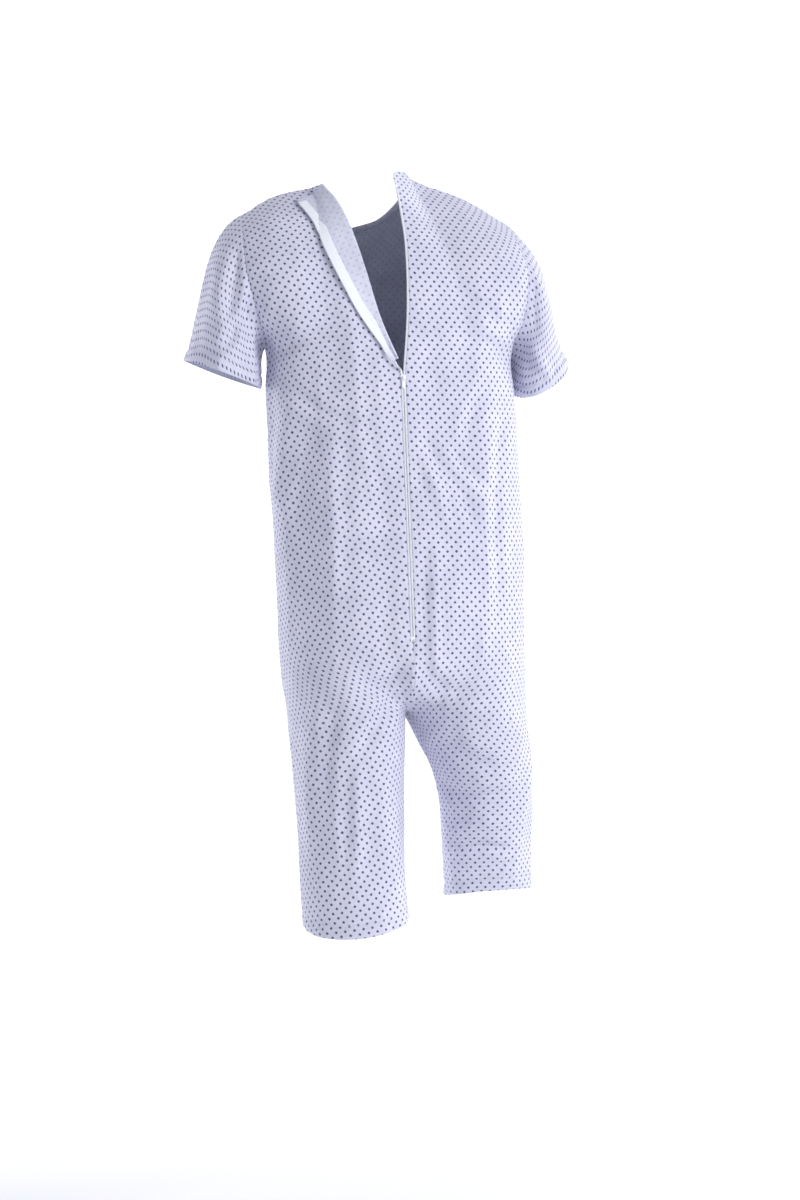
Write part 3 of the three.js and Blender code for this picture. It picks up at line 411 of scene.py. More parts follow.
BACK_CREASES = (
    (((-92, -335), (-104, -460), (-99, -600), (-90, -700)), 17, 5.0),
    (((-126, -345), (-132, -470), (-128, -590)), 9, -3.5),
    (((-60, -360), (-66, -520), (-58, -690)), 12, -2.5),
    (((66, -395), (88, -445), (128, -500), (172, -565)), 12, 5.0),
    (((60, -440), (92, -500), (120, -580)), 10, -3.6),
    (((112, -420), (150, -470), (205, -520)), 10, 3.8),
    (((74, -560), (70, -640), (68, -760)), 11, 5.0),
    (((86, -600), (84, -700), (90, -790)), 9, -3.4),
    (((215, -350), (196, -450), (190, -560), (196, -700)), 12, 4.5),
    (((176, -330), (150, -390), (140, -440)), 12, 4.0),
    (((-140, -330), (-80, -380), (-20, -400)), 11, 3.2),
    (((-150, -300), (-110, -270), (-60, -262)), 10, 3.0),
    (((230, -300), (180, -270), (120, -262)), 12, 3.5),
    (((208, -250), (170, -215), (125, -196)), 11, 3.2),
    (((48, -740), (10, -790), (-60, -800)), 13, 4.0),
    (((62, -760), (110, -800), (190, -800)), 13, 4.5),
    (((40, -800), (0, -850), (-40, -930)), 12, 4.0),
    (((-66, -800), (-70, -900), (-64, -1010)), 12, 4.2),
    (((-88, -860), (-92, -980), (-84, -1100)), 9, -3.0),
    (((-30, -860), (-26, -1000), (-34, -1120)), 12, -3.0),
    (((110, -850), (150, -900), (210, -930)), 13, 4.4),
    (((100, -930), (160, -965), (235, -955)), 11, 3.8),
    (((135, -1052), (190, -1046), (252, -1056)), 8, 5.0),
    (((128, -1030), (170, -1016), (240, -1000)), 10, -3.6),
    (((205, -1085), (248, -1064)), 8, 3.6),
)
FRONT_CREASES = (
    (((230, -300), (160, -330), (90, -340)), 14, 4.5),
    (((-140, -300), (-70, -330), (-10, -345)), 14, 4.5),
    (((180, -380), (150, -520), (140, -680)), 16, 5.0),
    (((-70, -380), (-50, -520), (-60, -690)), 16, 5.0),
    (((60, -420), (70, -560), (62, -700)), 14, -3.6),
    (((70, -800), (130, -775), (200, -790)), 14, 4.5),
    (((70, -800), (10, -775), (-60, -790)), 14, 4.5),
    (((150, -900), (170, -1000), (190, -1100)), 13, 4.0),
    (((-40, -900), (-36, -1000), (-30, -1110)), 13, 4.0),
    (((150, -1045), (205, -1030), (265, -1046)), 9, 4.5),
)


def crease_field(points, creases):
    """Sum of soft grooves, each with a low ridge beside it, along paths in the x-z plane."""
    flat = points[..., [0, 2]]
    total = np.zeros(points.shape[:-1])
    for line, half_width, depth in creases:
        corners = np.array(line, float)
        curve = through(np.column_stack([np.arange(len(corners)), corners]))
        samples = curve(np.linspace(0, len(corners) - 1, 24))
        best, along, sign = np.full(total.shape, 1e9), np.zeros(total.shape), np.ones(total.shape)
        for k in range(len(samples) - 1):
            a, d = samples[k], samples[k + 1] - samples[k]
            t = np.clip(((flat - a) @ d) / (d @ d), 0, 1)
            off = flat - a - t[..., None] * d
            distance = np.linalg.norm(off, axis=-1)
            closer = distance < best
            best = np.where(closer, distance, best)
            along = np.where(closer, (k + t) / (len(samples) - 1), along)
            sign = np.where(closer, np.sign(off[..., 0] * d[1] - off[..., 1] * d[0]), sign)
        across = best * sign / half_width
        ends = smooth(along / 0.3) * smooth((1 - along) / 0.3) + 0.12
        groove = 0.55 * near(across - 1.5) + 0.3 * near(across + 1.7) - near(across)
        total += depth * groove * ends
    return total


def hanging_folds(points):
    """Long upright ridges from stretched noise, sharper in the valleys than on the crests."""
    drift = lattice_noise(points / (160, 160, 190), 3)[..., None] * np.array([26, 26, 0])
    broad = lattice_noise((points + drift) / (62, 62, 330), 11)
    narrow = lattice_noise((points + drift) / (30, 30, 170), 17)
    return 0.75 * (0.6 - 1.6 * np.abs(broad)) + 0.35 * (0.5 - 1.3 * np.abs(narrow))


def small_wrinkles(points):
    """Short slanted wrinkles from two scales of noise, never beyond 1.5 either way."""
    turned = points @ np.array([[0.8, 0, 0.6], [0, 1, 0], [-0.6, 0, 0.8]])
    return lattice_noise(turned / (24, 30, 60), 23) + 0.5 * lattice_noise(points / (15, 15, 26), 29)


def soft_folds(points):
    """How far the cloth stands out in millimetres, apart from the creases: the same for every piece."""
    depth = settings().fold_depth / MM
    loose = smooth((Z_SHOULDER - 40 - points[..., 2]) / 160)
    return depth * (0.2 + 0.8 * loose) * hanging_folds(points) + 0.5 * small_wrinkles(points)


# ---- Cloth grids with their folds ---------------------------------------------------------------

ROLL = 0.6  # how far cloth turns in at a seam
ROLL_WIDTH = 1.4  # how far from the seam the turn starts
LAPEL_SHARE = 0.5  # width of the lapel at the top, as a share of the yoke
LAPEL_FLARE = 1.55  # how late it widens on its way up
LAPEL_LIFT = 2.8  # least space between the lapel and the cloth under it, before its wave
YOKE_WIDTH = 230  # across the left yoke, from the fold to the armhole
LAPEL_FROM = 0.06  # where the lapel starts, as a share of the yoke's height


def arc(points, axis):
    """Length along an axis of a grid, from 0 at its first point."""
    steps = np.linalg.norm(np.diff(points, axis=axis), axis=-1)
    return np.cumsum(np.insert(steps, 0, 0, axis=axis), axis=axis)


CORNER_RADIUS = 20.0


def rounded_corner(grid):
    """Rounds the corner between the first column and the last row, by squeezing the square there
    into a quarter of a disc."""
    radius = CORNER_RADIUS
    across, upward = arc(grid, 1), arc(grid, 0)
    s = np.clip(1 - across / radius, 0, 1)
    t = np.clip(1 - (upward[-1:] - upward) / radius, 0, 1)
    inward, downward = radius * s * (1 - np.sqrt(1 - t * t / 2)), radius * t * (1 - np.sqrt(1 - s * s / 2))
    way_in = unit(np.gradient(grid, axis=1))
    way_down = -unit(np.gradient(grid, axis=0))
    return grid + way_in * inward[..., None] + way_down * downward[..., None]


# Where the right back's neck corner stands wider than its pattern: (around, moved by, reach).
CORNER_MOVES = (((46, -53, -10), (-5, 2, -3.5), 20), ((75, -16, -18), (0, 0, 9), 20))


def fuller_corner(grid):
    """Moves the points round the right neck corner, fading with the square of their distance."""
    moved = grid.copy()
    for centre, by, reach in CORNER_MOVES:
        distance = np.linalg.norm(grid - centre, axis=-1)
        moved += near(distance, reach)[..., None] * np.array(by)
    return moved


def panel_depth(grid, side, back):
    """Folds, creases, seam rolls and the hem of a panel, as a distance along its normals."""
    crotch, trunk, zip_end, yoke = row_marks()
    rows = np.arange(len(grid))[:, None]
    across, upward = arc(grid, 1), arc(grid, 0)
    to_side, to_top = across[:, -1:] - across, upward[-1:] - upward
    on_torso = smooth((rows - crotch) / (trunk - crotch))
    creases = crease_field(grid, BACK_CREASES if back else FRONT_CREASES)
    creases = creases * smooth(to_side / 40) * mix(smooth(across / 40), 1, on_torso)
    depth = soft_folds(grid) + creases
    on_yoke = smooth((rows - yoke + 25) / 25)
    depth = depth * mix(1, smooth(to_side / 26), on_yoke) * smooth(to_top / 22)
    if back:
        by_zip = smooth((rows - zip_end + 14) / 14)
        depth = depth * mix(1, mix(0.05, 1, smooth((across - 2) / 34)), by_zip)
    puckers = lattice_noise(grid / (7, 7, 8), 41)
    edge = np.minimum(np.minimum(across, to_side), to_top)
    depth = depth + 0.55 * puckers * near(edge, 9)
    side_roll = near(to_side, ROLL_WIDTH) * mix(1, 0.3, on_yoke)
    rolls = np.maximum(near(across, ROLL_WIDTH), side_roll)
    if back and side == LEFT:
        above = row_steps()["yoke"]
        width = np.zeros(len(grid))
        width[yoke:] = LAPEL_SHARE * YOKE_WIDTH * above ** LAPEL_FLARE
        under_lapel = smooth((width[:, None] + 30 - across) / 30) * (width[:, None] > 0)
        depth = depth * (1 - 0.85 * under_lapel)
        rolls = np.where(rows > yoke + 6, side_roll, rolls)
    rolls = np.maximum(rolls, near(to_top, ROLL_WIDTH))
    return depth - ROLL * rolls + hem_depth(upward)


def hem_depth(height):
    """A turned-up hem: fuller below its stitching, pinched at it and rounded at the edge."""
    full = 0.45 * (1 - smooth((height - HEM_DEPTH + 2) / 4))
    return full - 2.0 * near(height - HEM_DEPTH, 2.6) - 0.8 * near(height, ROLL_WIDTH)


def cloth_uv(grid, turn=0.0):
    """Metres across and up the cloth, turned by an angle: across is the length along the row from the
    middle column, up is the length of the middle column plus how much higher the point is."""
    across, upward = arc(grid, 1), arc(grid, 0)
    middle = grid.shape[1] // 2
    u = across - across[:, middle:middle + 1]
    v = upward[:, middle:middle + 1] + grid[..., 2] - grid[:, middle:middle + 1, 2]
    c, d = math.cos(turn), math.sin(turn)
    return np.stack([u * c - v * d, u * d + v * c], -1) * MM


def share_normals(grids, normals):
    """Gives points that lie in the same place in several grids one common normal."""
    points = np.concatenate([g.reshape(-1, 3) for g in grids])
    values = np.concatenate([n.reshape(-1, 3) for n in normals])
    _, group = np.unique(np.round(points * 10).astype(np.int64), axis=0, return_inverse=True)
    group = group.reshape(-1)
    sums = np.zeros((group.max() + 1, 3))
    np.add.at(sums, group, values)
    values = unit(sums[group])
    ends = np.cumsum([g.shape[0] * g.shape[1] for g in grids])[:-1]
    return [part.reshape(g.shape) for part, g in zip(np.split(values, ends), grids)]


# How far each panel's grain leans, in radians.
GRAIN_TURN = {(LEFT, True): 0.14, (RIGHT, True): -0.03, (LEFT, False): 0.03, (RIGHT, False): -0.02}


@functools.lru_cache(maxsize=None)
def panels():
    """The four body panels as {(side, back): (points, normals, uv, flat grid)}."""
    keys = [(side, back) for side in (LEFT, RIGHT) for back in (True, False)]
    grids = [body_grid(*key) for key in keys]
    grids[keys.index((RIGHT, True))] = rounded_corner(grids[keys.index((RIGHT, True))])
    grids = [fuller_corner(grid) for grid in grids]
    normals = [normals_of(g, s if b else -s) for g, (s, b) in zip(grids, keys)]
    normals = share_normals(grids, normals)
    made = {}
    for key, grid, normal in zip(keys, grids, normals):
        points = grid + normal * panel_depth(grid, *key)[..., None]
        made[key] = points, normal, cloth_uv(grid, GRAIN_TURN[key]), grid
    return made


SLEEVE_COLUMNS = 120
SLEEVE_CREASES = {
    LEFT: (
        (((-196, -118), (-214, -190), (-222, -262)), 9, 5.0),
        (((-183, -150), (-196, -215), (-200, -285)), 8, -4.2),
        (((-180, -205), (-214, -268), (-255, -300)), 9, 4.4),
        (((-238, -150), (-262, -230), (-268, -300)), 10, 2.6),
    ),
    RIGHT: (
        (((236, -130), (252, -200), (262, -280)), 9, 3.6),
        (((226, -180), (246, -250), (262, -320)), 8, 3.4),
        (((232, -230), (270, -290), (300, -330)), 8, -2.8),
        (((262, -140), (300, -210), (322, -270)), 10, 2.6),
    ),
}


def sleeve_grid(side, cuff):
    """Rings from the armhole to the cuff, each point following a cubic that leaves sideways and
    arrives along the sleeve's axis."""
    lean, forward = math.radians(cuff["lean"]), math.radians(cuff["forward"])
    axis = unit(np.array([side * math.sin(lean), math.sin(forward), -math.cos(lean)]))
    outward = np.array([side * math.cos(lean), 0, math.sin(lean)])
    rear = np.cross(outward, axis) * side
    rear = rear * -np.sign(rear[1])
    length = 200
    rows = int(round(length / (settings().mesh_step / MM)))
    t = np.linspace(0, 1, rows + 1)
    t = np.concatenate([t[:1], BESIDE / rows, t[1:-1], 1 - BESIDE[::-1] / rows, t[-1:]])[:, None, None]
    k = np.arange(SLEEVE_COLUMNS) / SLEEVE_COLUMNS
    back, front = armhole(side, True)(1 - 2 * k), armhole(side, False)(2 * k - 1)
    start = np.where((k < 0.5)[:, None], back, front) - unit(np.array([side, 0, -0.3])) * 0.4
    angle = 2 * math.pi * k[:, None]
    end = np.array(cuff["at"]) + outward * cuff["half"] * np.cos(angle) + rear * cuff["depth"] * np.sin(angle)
    reach = np.linalg.norm(end - start, axis=1)[:, None]
    leave, arrive = unit(np.array([side, 0, -0.55])) * reach, axis * reach
    h, g = t * t * (3 - 2 * t), t * (1 - t)
    return mix(start, end, h) + leave * g * (1 - t) - arrive * g * t


@functools.lru_cache(maxsize=None)
def sleeve(side):
    """A sleeve as (points, normals, uv, flat grid), with its first column repeated at the end."""
    grid = sleeve_grid(side, CUFF_LEFT if side == LEFT else CUFF_RIGHT)
    closed = np.concatenate([grid, grid[:, :1]], 1)
    wide = np.concatenate([grid[:, -1:], grid, grid[:, :2]], 1)
    normal = normals_of(wide, side)[:, 1:-1]
    length = arc(closed, 0)
    to_cuff = length[-1:] - length
    face = smooth((-closed[..., 1] + closed[..., 1].mean()) / 40 + 0.2)
    depth = 0.9 * soft_folds(closed) + face * crease_field(closed, SLEEVE_CREASES[side])
    depth = depth * smooth(length / 18)
    depth = depth + 0.55 * lattice_noise(closed / (7, 7, 8), 43) * near(length, 9)
    depth = depth - 0.3 * ROLL * near(length, ROLL_WIDTH) + hem_depth(to_cuff)
    around = arc(closed, 1)
    uv = np.stack([around - around[:, -1:] / 2, -length], -1) * MM
    return closed + normal * depth[..., None], normal, uv, closed


# ---- The lapel ----------------------------------------------------------------------------------

LAPEL_COLUMNS = 26
ROLL_COLUMNS = 6


def lapel_at(r, q):
    """The cloth under the lapel: q goes from the fold (0) to the free edge (1), r up the fold."""
    return yoke_point(LEFT, True, q * LAPEL_SHARE * np.maximum(r, 0) ** LAPEL_FLARE, r * (1 - 0.1 * q))


def lapel_normal(r, q):
    """Outward normal of the cloth under the lapel, from small steps each way."""
    r, q, step = np.clip(r, 0.02, 0.985), np.maximum(q, 0.05), 0.01
    across = lapel_at(r, q + step) - lapel_at(r, q - step)
    normal = unit(np.cross(lapel_at(r + step, q) - lapel_at(r - step, q), across))
    return normal * -np.sign(normal[..., 1:2])


def lapel_rise(r, q):
    """Space under the lapel: full at the roll, close in the middle and lifted at the free edge."""
    wave = lattice_noise(np.stack([r * 9, q * 2.2, 0 * r], -1), 53)
    return LAPEL_LIFT + 1.6 * near(q, 0.16) + 0.9 * smooth((q - 0.6) / 0.4) + 0.7 * wave * smooth(q / 0.3)


@functools.lru_cache(maxsize=None)
def lapel():
    """Grid from the free edge to the fold: the turned corner, then half a turn round the fold."""
    yoke = row_marks()[-1]
    points, _, uv, _ = panels()[LEFT, True]
    rows = yoke + np.flatnonzero(row_steps()["yoke"] >= LAPEL_FROM)
    r = row_steps()["yoke"][rows - yoke][:, None]
    q = np.linspace(1, 0, LAPEL_COLUMNS + 1)[None, :]
    r, q = np.broadcast_arrays(r, q)
    flat = lapel_at(r, q) + lapel_normal(r, q) * lapel_rise(r, q)[..., None]
    edge = points[rows, 0][:, None]
    away = unit(points[rows, 0] - points[rows, 4])[:, None]
    top = flat[:, -1:]
    turn = np.linspace(math.pi, 0, ROLL_COLUMNS + 2)[None, 1:-1, None]
    height = np.linalg.norm(top - edge, axis=-1, keepdims=True)
    start = edge + (top - edge) * (1 - np.cos(turn)) / 2
    rolled = start + away * np.sin(turn) * height / 2
    grid = np.concatenate([flat, rolled], 1)
    whole = np.concatenate([grid, edge], 1)
    across = arc(whole, 1)
    sideways = (across - across[:, -1:]) * MM + uv[rows, :1, 0]
    return grid, np.stack([sideways[:, :-1], np.repeat(uv[rows, :1, 1], grid.shape[1], 1)], -1), rows


# ---- The zip's runs -----------------------------------------------------------------------------
# A run is (at, across, out): the inner edge of a tape, the way it widens and its outward face.

CLEARANCE = 0.35
COIL_HALF_GAP = 0.9
COIL_WIDTH = 2.5
COIL_THICKNESS = 1.45
TAPE_DEPTH = 1.4  # tape's outward face below the cloth's
TAPE_THICKNESS = 0.6
TAPE_LIP = 0.55  # how far a tape goes past its run towards the middle
TAPE_STATION = 2.5  # distance between the rows of a tape
BELOW_END = 9  # how far the tapes go on below the zip's end
TOP_CUT = 14  # how far they end short of the neck
SLIDER_DROP = 4  # how far the closed stretch ends below the zip's top
COIL_CLEAR = ZIP_SLOT_HALF - COIL_HALF_GAP
NARROW = 2.8  # width of the left tape where it passes the slider

ZIP_LENGTH = float(np.linalg.norm(ZIP_TOP - ZIP_END))
ZIP_AXIS = unit(ZIP_TOP - ZIP_END)
ZIP_ACROSS = unit(np.array([1, 0, 0]) - ZIP_AXIS * ZIP_AXIS[0])
ZIP_OUT = np.cross(ZIP_ACROSS, ZIP_AXIS)


def closed_run(side):
    """The straight stretch from below the bottom stop up to the slider."""
    drop = np.concatenate([[ZIP_LENGTH + BELOW_END], np.linspace(ZIP_LENGTH, SLIDER_DROP, 60)])[:, None]
    at = ZIP_TOP - ZIP_AXIS * drop + ZIP_ACROSS * side * COIL_HALF_GAP - ZIP_OUT * TAPE_DEPTH
    return at, np.broadcast_to(ZIP_ACROSS * side, at.shape), np.broadcast_to(ZIP_OUT, at.shape)


def right_run():
    """Up the closed stretch and on behind the edge of the right back."""
    _, normals, _, grid = panels()[RIGHT, True]
    yoke = row_marks()[-1]
    edge, inner = grid[yoke + 3:-5, 0], grid[yoke + 3:-5, 3]
    out = normals[yoke + 3:-5, 0]
    beside = unit(inner - edge)
    beside = unit(beside - out * np.sum(beside * out, -1, keepdims=True))
    at = edge - beside * COIL_CLEAR - out * TAPE_DEPTH
    keep = arc(edge, 0)[-1] - arc(edge, 0) > TOP_CUT
    closed = closed_run(RIGHT)
    return tuple(np.concatenate([a, b[keep]]) for a, b in zip(closed, (at, beside, out)))


# The turn of the left tape, as (way up, share of the way aside, way out, angle turned in degrees).
TURN = np.array([(7, 0.05, 3, 40), (13, 0.18, 5.5, 95), (24, 0.42, 8, 145)], float)

LAPEL_STATIONS = np.linspace(0.17, 0.97, 60)  # heights on the lapel where the tape follows it
LAPEL_TAPE_LIFT = 1.7  # tape's coil side above the lapel's cloth
LAPEL_TAPE_SHARE = 0.85  # most of the lapel's width that the tape may take
TURN_TOWARDS = 0.24  # height on the lapel that the turn aims at


def lapel_width(r):
    """Width of the turned corner in millimetres, ten times that of its outer tenth."""
    r = np.clip(r, 0.05, 1)
    return 10 * np.linalg.norm(lapel_at(r, 1.0) - lapel_at(r, 0.9), axis=-1)


def on_lapel(r, in_from_edge, lift):
    """Points over the lapel's outward face, a distance in from its free edge."""
    r, in_from_edge = np.broadcast_arrays(r, in_from_edge)
    q = 1 - in_from_edge / lapel_width(r)
    cloth = settings().cloth_thickness / MM
    rise = lapel_rise(r, np.clip(q, 0, 1)) + cloth + lift
    return lapel_at(r, q) + lapel_normal(r, q) * rise[..., None]


def left_run():
    """Up the closed stretch, over in a turn and along the free edge of the lapel."""
    r = LAPEL_STATIONS
    at = on_lapel(r, -COIL_CLEAR, LAPEL_TAPE_LIFT)
    towards_fold = unit(on_lapel(r, TAPE_WIDTH / 2, LAPEL_TAPE_LIFT) - at)
    out = lapel_normal(r, np.ones_like(r))
    closed = closed_run(LEFT)
    low = closed[0][-1]
    aside = on_lapel(np.array([TURN_TOWARDS]), -COIL_CLEAR, LAPEL_TAPE_LIFT)[0] - low
    aside = aside - ZIP_AXIS * (aside @ ZIP_AXIS) - ZIP_OUT * (aside @ ZIP_OUT)
    up, share, lifted, degrees = (column[:, None] for column in TURN.T)
    angle = np.radians(degrees)
    turn = (
        low + ZIP_AXIS * up + aside * share + ZIP_OUT * lifted,
        -ZIP_ACROSS * np.cos(angle) + ZIP_OUT * np.sin(angle),
        ZIP_OUT * np.cos(angle) + ZIP_ACROSS * np.sin(angle),
    )
    parts = zip(closed, turn, (at, towards_fold, -out))
    return tuple(np.concatenate(three) for three in parts)


def left_tape_grid(columns=9):
    """The left tape's outward face on the cloth side, following the lapel under it."""
    run = left_run()
    r = LAPEL_STATIONS
    before = len(run[0]) - len(r)
    share = np.linspace(0, 1, columns)
    length = arc(run[0], 0)
    closed = ZIP_LENGTH + BELOW_END - SLIDER_DROP
    width = mix(TAPE_WIDTH, NARROW, smooth((length - closed + 34) / 30))
    width = mix(width, LAPEL_TAPE_SHARE * lapel_width(r[0]), smooth((length - closed - 6) / 40))[:, None]
    over = mix(-TAPE_LIP, width[:before], share[None, :])[..., None]
    straight = run[0][:before, None] + run[1][:before, None] * over
    widening = np.minimum(TAPE_WIDTH, LAPEL_TAPE_SHARE * lapel_width(r))[:, None]
    above = on_lapel(r[:, None], mix(-TAPE_LIP, widening, share[None, :]) - COIL_CLEAR, LAPEL_TAPE_LIFT)
    grid = np.concatenate([straight, above])
    middle = grid[:, columns // 2]
    along = arc(middle, 0)
    curve = through(np.column_stack([along, grid.reshape(len(grid), -1)]))
    stops = np.linspace(0, along[-1], int(along[-1] / TAPE_STATION))
    return curve(stops).reshape(len(stops), columns, 3)


def resampled(run, spacing, start=0.0, stop=None):
    """Stations every spacing millimetres along a run, smoothly between the ones it has."""
    at, across, out = run
    length = arc(at, 0)
    curve = through(np.column_stack([length, at, across, out]))
    stop = length[-1] if stop is None else stop
    values = curve(np.linspace(start, stop, int(round((stop - start) / spacing)) + 1))
    at, across, out = values[:, :3], values[:, 3:6], values[:, 6:]
    along = unit(np.gradient(at, axis=0))
    out = unit(out - along * np.sum(out * along, -1, keepdims=True))
    across = unit(across - along * np.sum(across * along, -1, keepdims=True))
    return at, across, out, along


# ---- Meshes -------------------------------------------------------------------------------------


def quads(rows, columns, flip=False, first=0):
    """Faces of a grid of points numbered row by row."""
    index = first + np.arange(rows * columns).reshape(rows, columns)
    a, b, c, d = index[:-1, :-1], index[:-1, 1:], index[1:, 1:], index[1:, :-1]
    faces = np.stack([a, b, c, d], -1).reshape(-1, 4)
    return faces[:, ::-1] if flip else faces


def mesh_piece(name, points, faces, materials, uv=None):
    """A mesh object from points in millimetres and four-cornered faces, placed in its mesh."""
    points, faces = np.asarray(points).reshape(-1, 3) * MM, np.asarray(faces)
    mesh = bpy.data.meshes.new(name)
    mesh.vertices.add(len(points))
    mesh.vertices.foreach_set("co", points.astype(np.float32).ravel())
    mesh.loops.add(faces.size)
    mesh.loops.foreach_set("vertex_index", faces.astype(np.int32).ravel())
    mesh.polygons.add(len(faces))
    mesh.polygons.foreach_set("loop_start", np.arange(0, faces.size, 4, dtype=np.int32))
    mesh.polygons.foreach_set("use_smooth", np.ones(len(faces), bool))
    if uv is not None:
        layer = mesh.uv_layers.new(name="cloth")
        values = np.asarray(uv).reshape(-1, 2)[faces.ravel()]
        layer.data.foreach_set("uv", values.astype(np.float32).ravel())
    for material in materials:
        mesh.materials.append(material)
    mesh.update(calc_edges=True)
    if mesh.validate():
        raise RuntimeError(f"{name} has faulty faces")
    made = bpy.data.objects.new(name, mesh)
    bpy.context.scene.collection.objects.link(made)
    return made


def thicken(piece, thickness, inner_material=0):
    """Gives a sheet its thickness behind its outward face."""
    solid = piece.modifiers.new("Thickness", "SOLIDIFY")
    solid.thickness = thickness
    solid.offset = -1
    solid.material_offset = inner_material
    return piece


MERGE_DISTANCE = 0.00002  # in metres


def merge_points(piece):
    """Joins the points of a mesh that lie in the same place."""
    work = bmesh.new()
    work.from_mesh(piece.data)
    bmesh.ops.remove_doubles(work, verts=work.verts, dist=MERGE_DISTANCE)
    work.to_mesh(piece.data)
    work.free()


def bar(length, half_heights, half_widths):
    """A small closed six-sided bar along x, as points and faces, with one height and width for each
    section. Each end is closed by two faces."""
    count, sides = len(half_heights), 6
    x = np.linspace(0, length, count)[:, None]
    angle = np.linspace(0, 2 * math.pi, sides, endpoint=False)[None, :]
    y, z = np.array(half_heights)[:, None] * np.sin(angle), np.array(half_widths)[:, None] * np.cos(angle)
    points = np.stack([np.broadcast_to(x, y.shape), y, z], -1).reshape(-1, 3)
    ring = np.concatenate([np.arange(count * sides).reshape(count, sides)] * 2, 1)[:, :sides + 1]
    faces = np.stack([ring[:-1, :-1], ring[:-1, 1:], ring[1:, 1:], ring[1:, :-1]], -1).reshape(-1, 4)
    caps = [(0, 5, 4, 1), (1, 4, 3, 2)]
    last = (count - 1) * sides
    ends = np.array(caps + [tuple(last + i for i in cap[::-1]) for cap in caps])
    return points, np.concatenate([faces, ends])


def repeated(template, at, x_axis, y_axis, z_axis):
    """A template placed at every station, as one set of points and faces."""
    points, faces = template
    axes = np.stack([x_axis, y_axis, z_axis], 1)
    placed = at[:, None] + np.einsum("pk,nkc->npc", points, axes)
    shift = np.arange(len(at))[:, None, None] * len(points)
    return placed.reshape(-1, 3), (faces[None] + shift).reshape(-1, 4)


def ribbon(name, run, low, high, material, lift=0.0, columns=5, thickness=0.5):
    """A strip along stations, from low to high millimetres across, with its outward face at lift."""
    at, across, out, _ = run
    share = np.linspace(0, 1, columns)[None, :, None]
    low, high = np.broadcast_to(low, len(at))[:, None, None], np.broadcast_to(high, len(at))[:, None, None]
    points = at[:, None] + across[:, None] * mix(low, high, share) + out[:, None] * lift
    uv = np.stack([arc(points, 1), arc(points, 0)], -1) * MM
    way = np.cross(points[1, 1] - points[1, 0], points[2, 0] - points[1, 0]) @ out[1]
    piece = mesh_piece(name, points, quads(*points.shape[:2], flip=way < 0), [material], uv)
    return thicken(piece, thickness * MM)


# ---- Materials ----------------------------------------------------------------------------------


def linear(hex_colour):
    """An sRGB hex colour as the linear colour that shaders use."""
    values = [int(hex_colour[k:k + 2], 16) / 255 for k in (1, 3, 5)]
    return tuple(v / 12.92 if v <= 0.04045 else ((v + 0.055) / 1.055) ** 2.4 for v in values) + (1.0,)


def node(tree, kind, inputs=(), **set_to):
    """Adds a node with its settings, and sets or links each named input."""
    made = tree.nodes.new(kind)
    for name, value in set_to.items():
        setattr(made, name, value)
    for name, value in dict(inputs).items():
        if isinstance(value, bpy.types.NodeSocket):
            tree.links.new(value, made.inputs[name])
        else:
            made.inputs[name].default_value = value
    return made


def new_material(name):
    """A new node material, its tree and its main shader."""
    material = bpy.data.materials.new(name)
    material.use_nodes = True
    return material, material.node_tree, material.node_tree.nodes["Principled BSDF"]


def dots(tree, cells, shift, radius, softness):
    """1 inside a rounded diamond in each cell of a unit lattice moved by shift, 0 outside."""
    moved = node(tree, "ShaderNodeVectorMath", {0: cells, 1: (*shift, 0)}, operation="ADD").outputs[0]
    part = node(tree, "ShaderNodeVectorMath", {0: moved}, operation="FRACTION").outputs[0]
    centred = node(tree, "ShaderNodeVectorMath", {0: part, 1: (0.5, 0.5, 0)}, operation="SUBTRACT").outputs[0]
    size = node(tree, "ShaderNodeVectorMath", {0: centred}, operation="ABSOLUTE").outputs[0]
    radial = node(tree, "ShaderNodeVectorMath", {0: size}, operation="LENGTH").outputs["Value"]
    taxi = node(tree, "ShaderNodeVectorMath", {0: size, 1: (0.42, 0.42, 0)},
                operation="DOT_PRODUCT").outputs["Value"]
    reach = node(tree, "ShaderNodeMath", {0: radial, 1: 0.5, 2: taxi}, operation="MULTIPLY_ADD").outputs[0]
    return node(tree, "ShaderNodeMapRange", {
        "Value": reach, "From Min": radius - softness, "From Max": radius + softness,
        "To Min": 1.0, "To Max": 0.0}, interpolation_type="SMOOTHSTEP").outputs["Result"]


PRINT_DRIFT = 0.0008  # how far the print wanders with the pull of the cloth, in metres


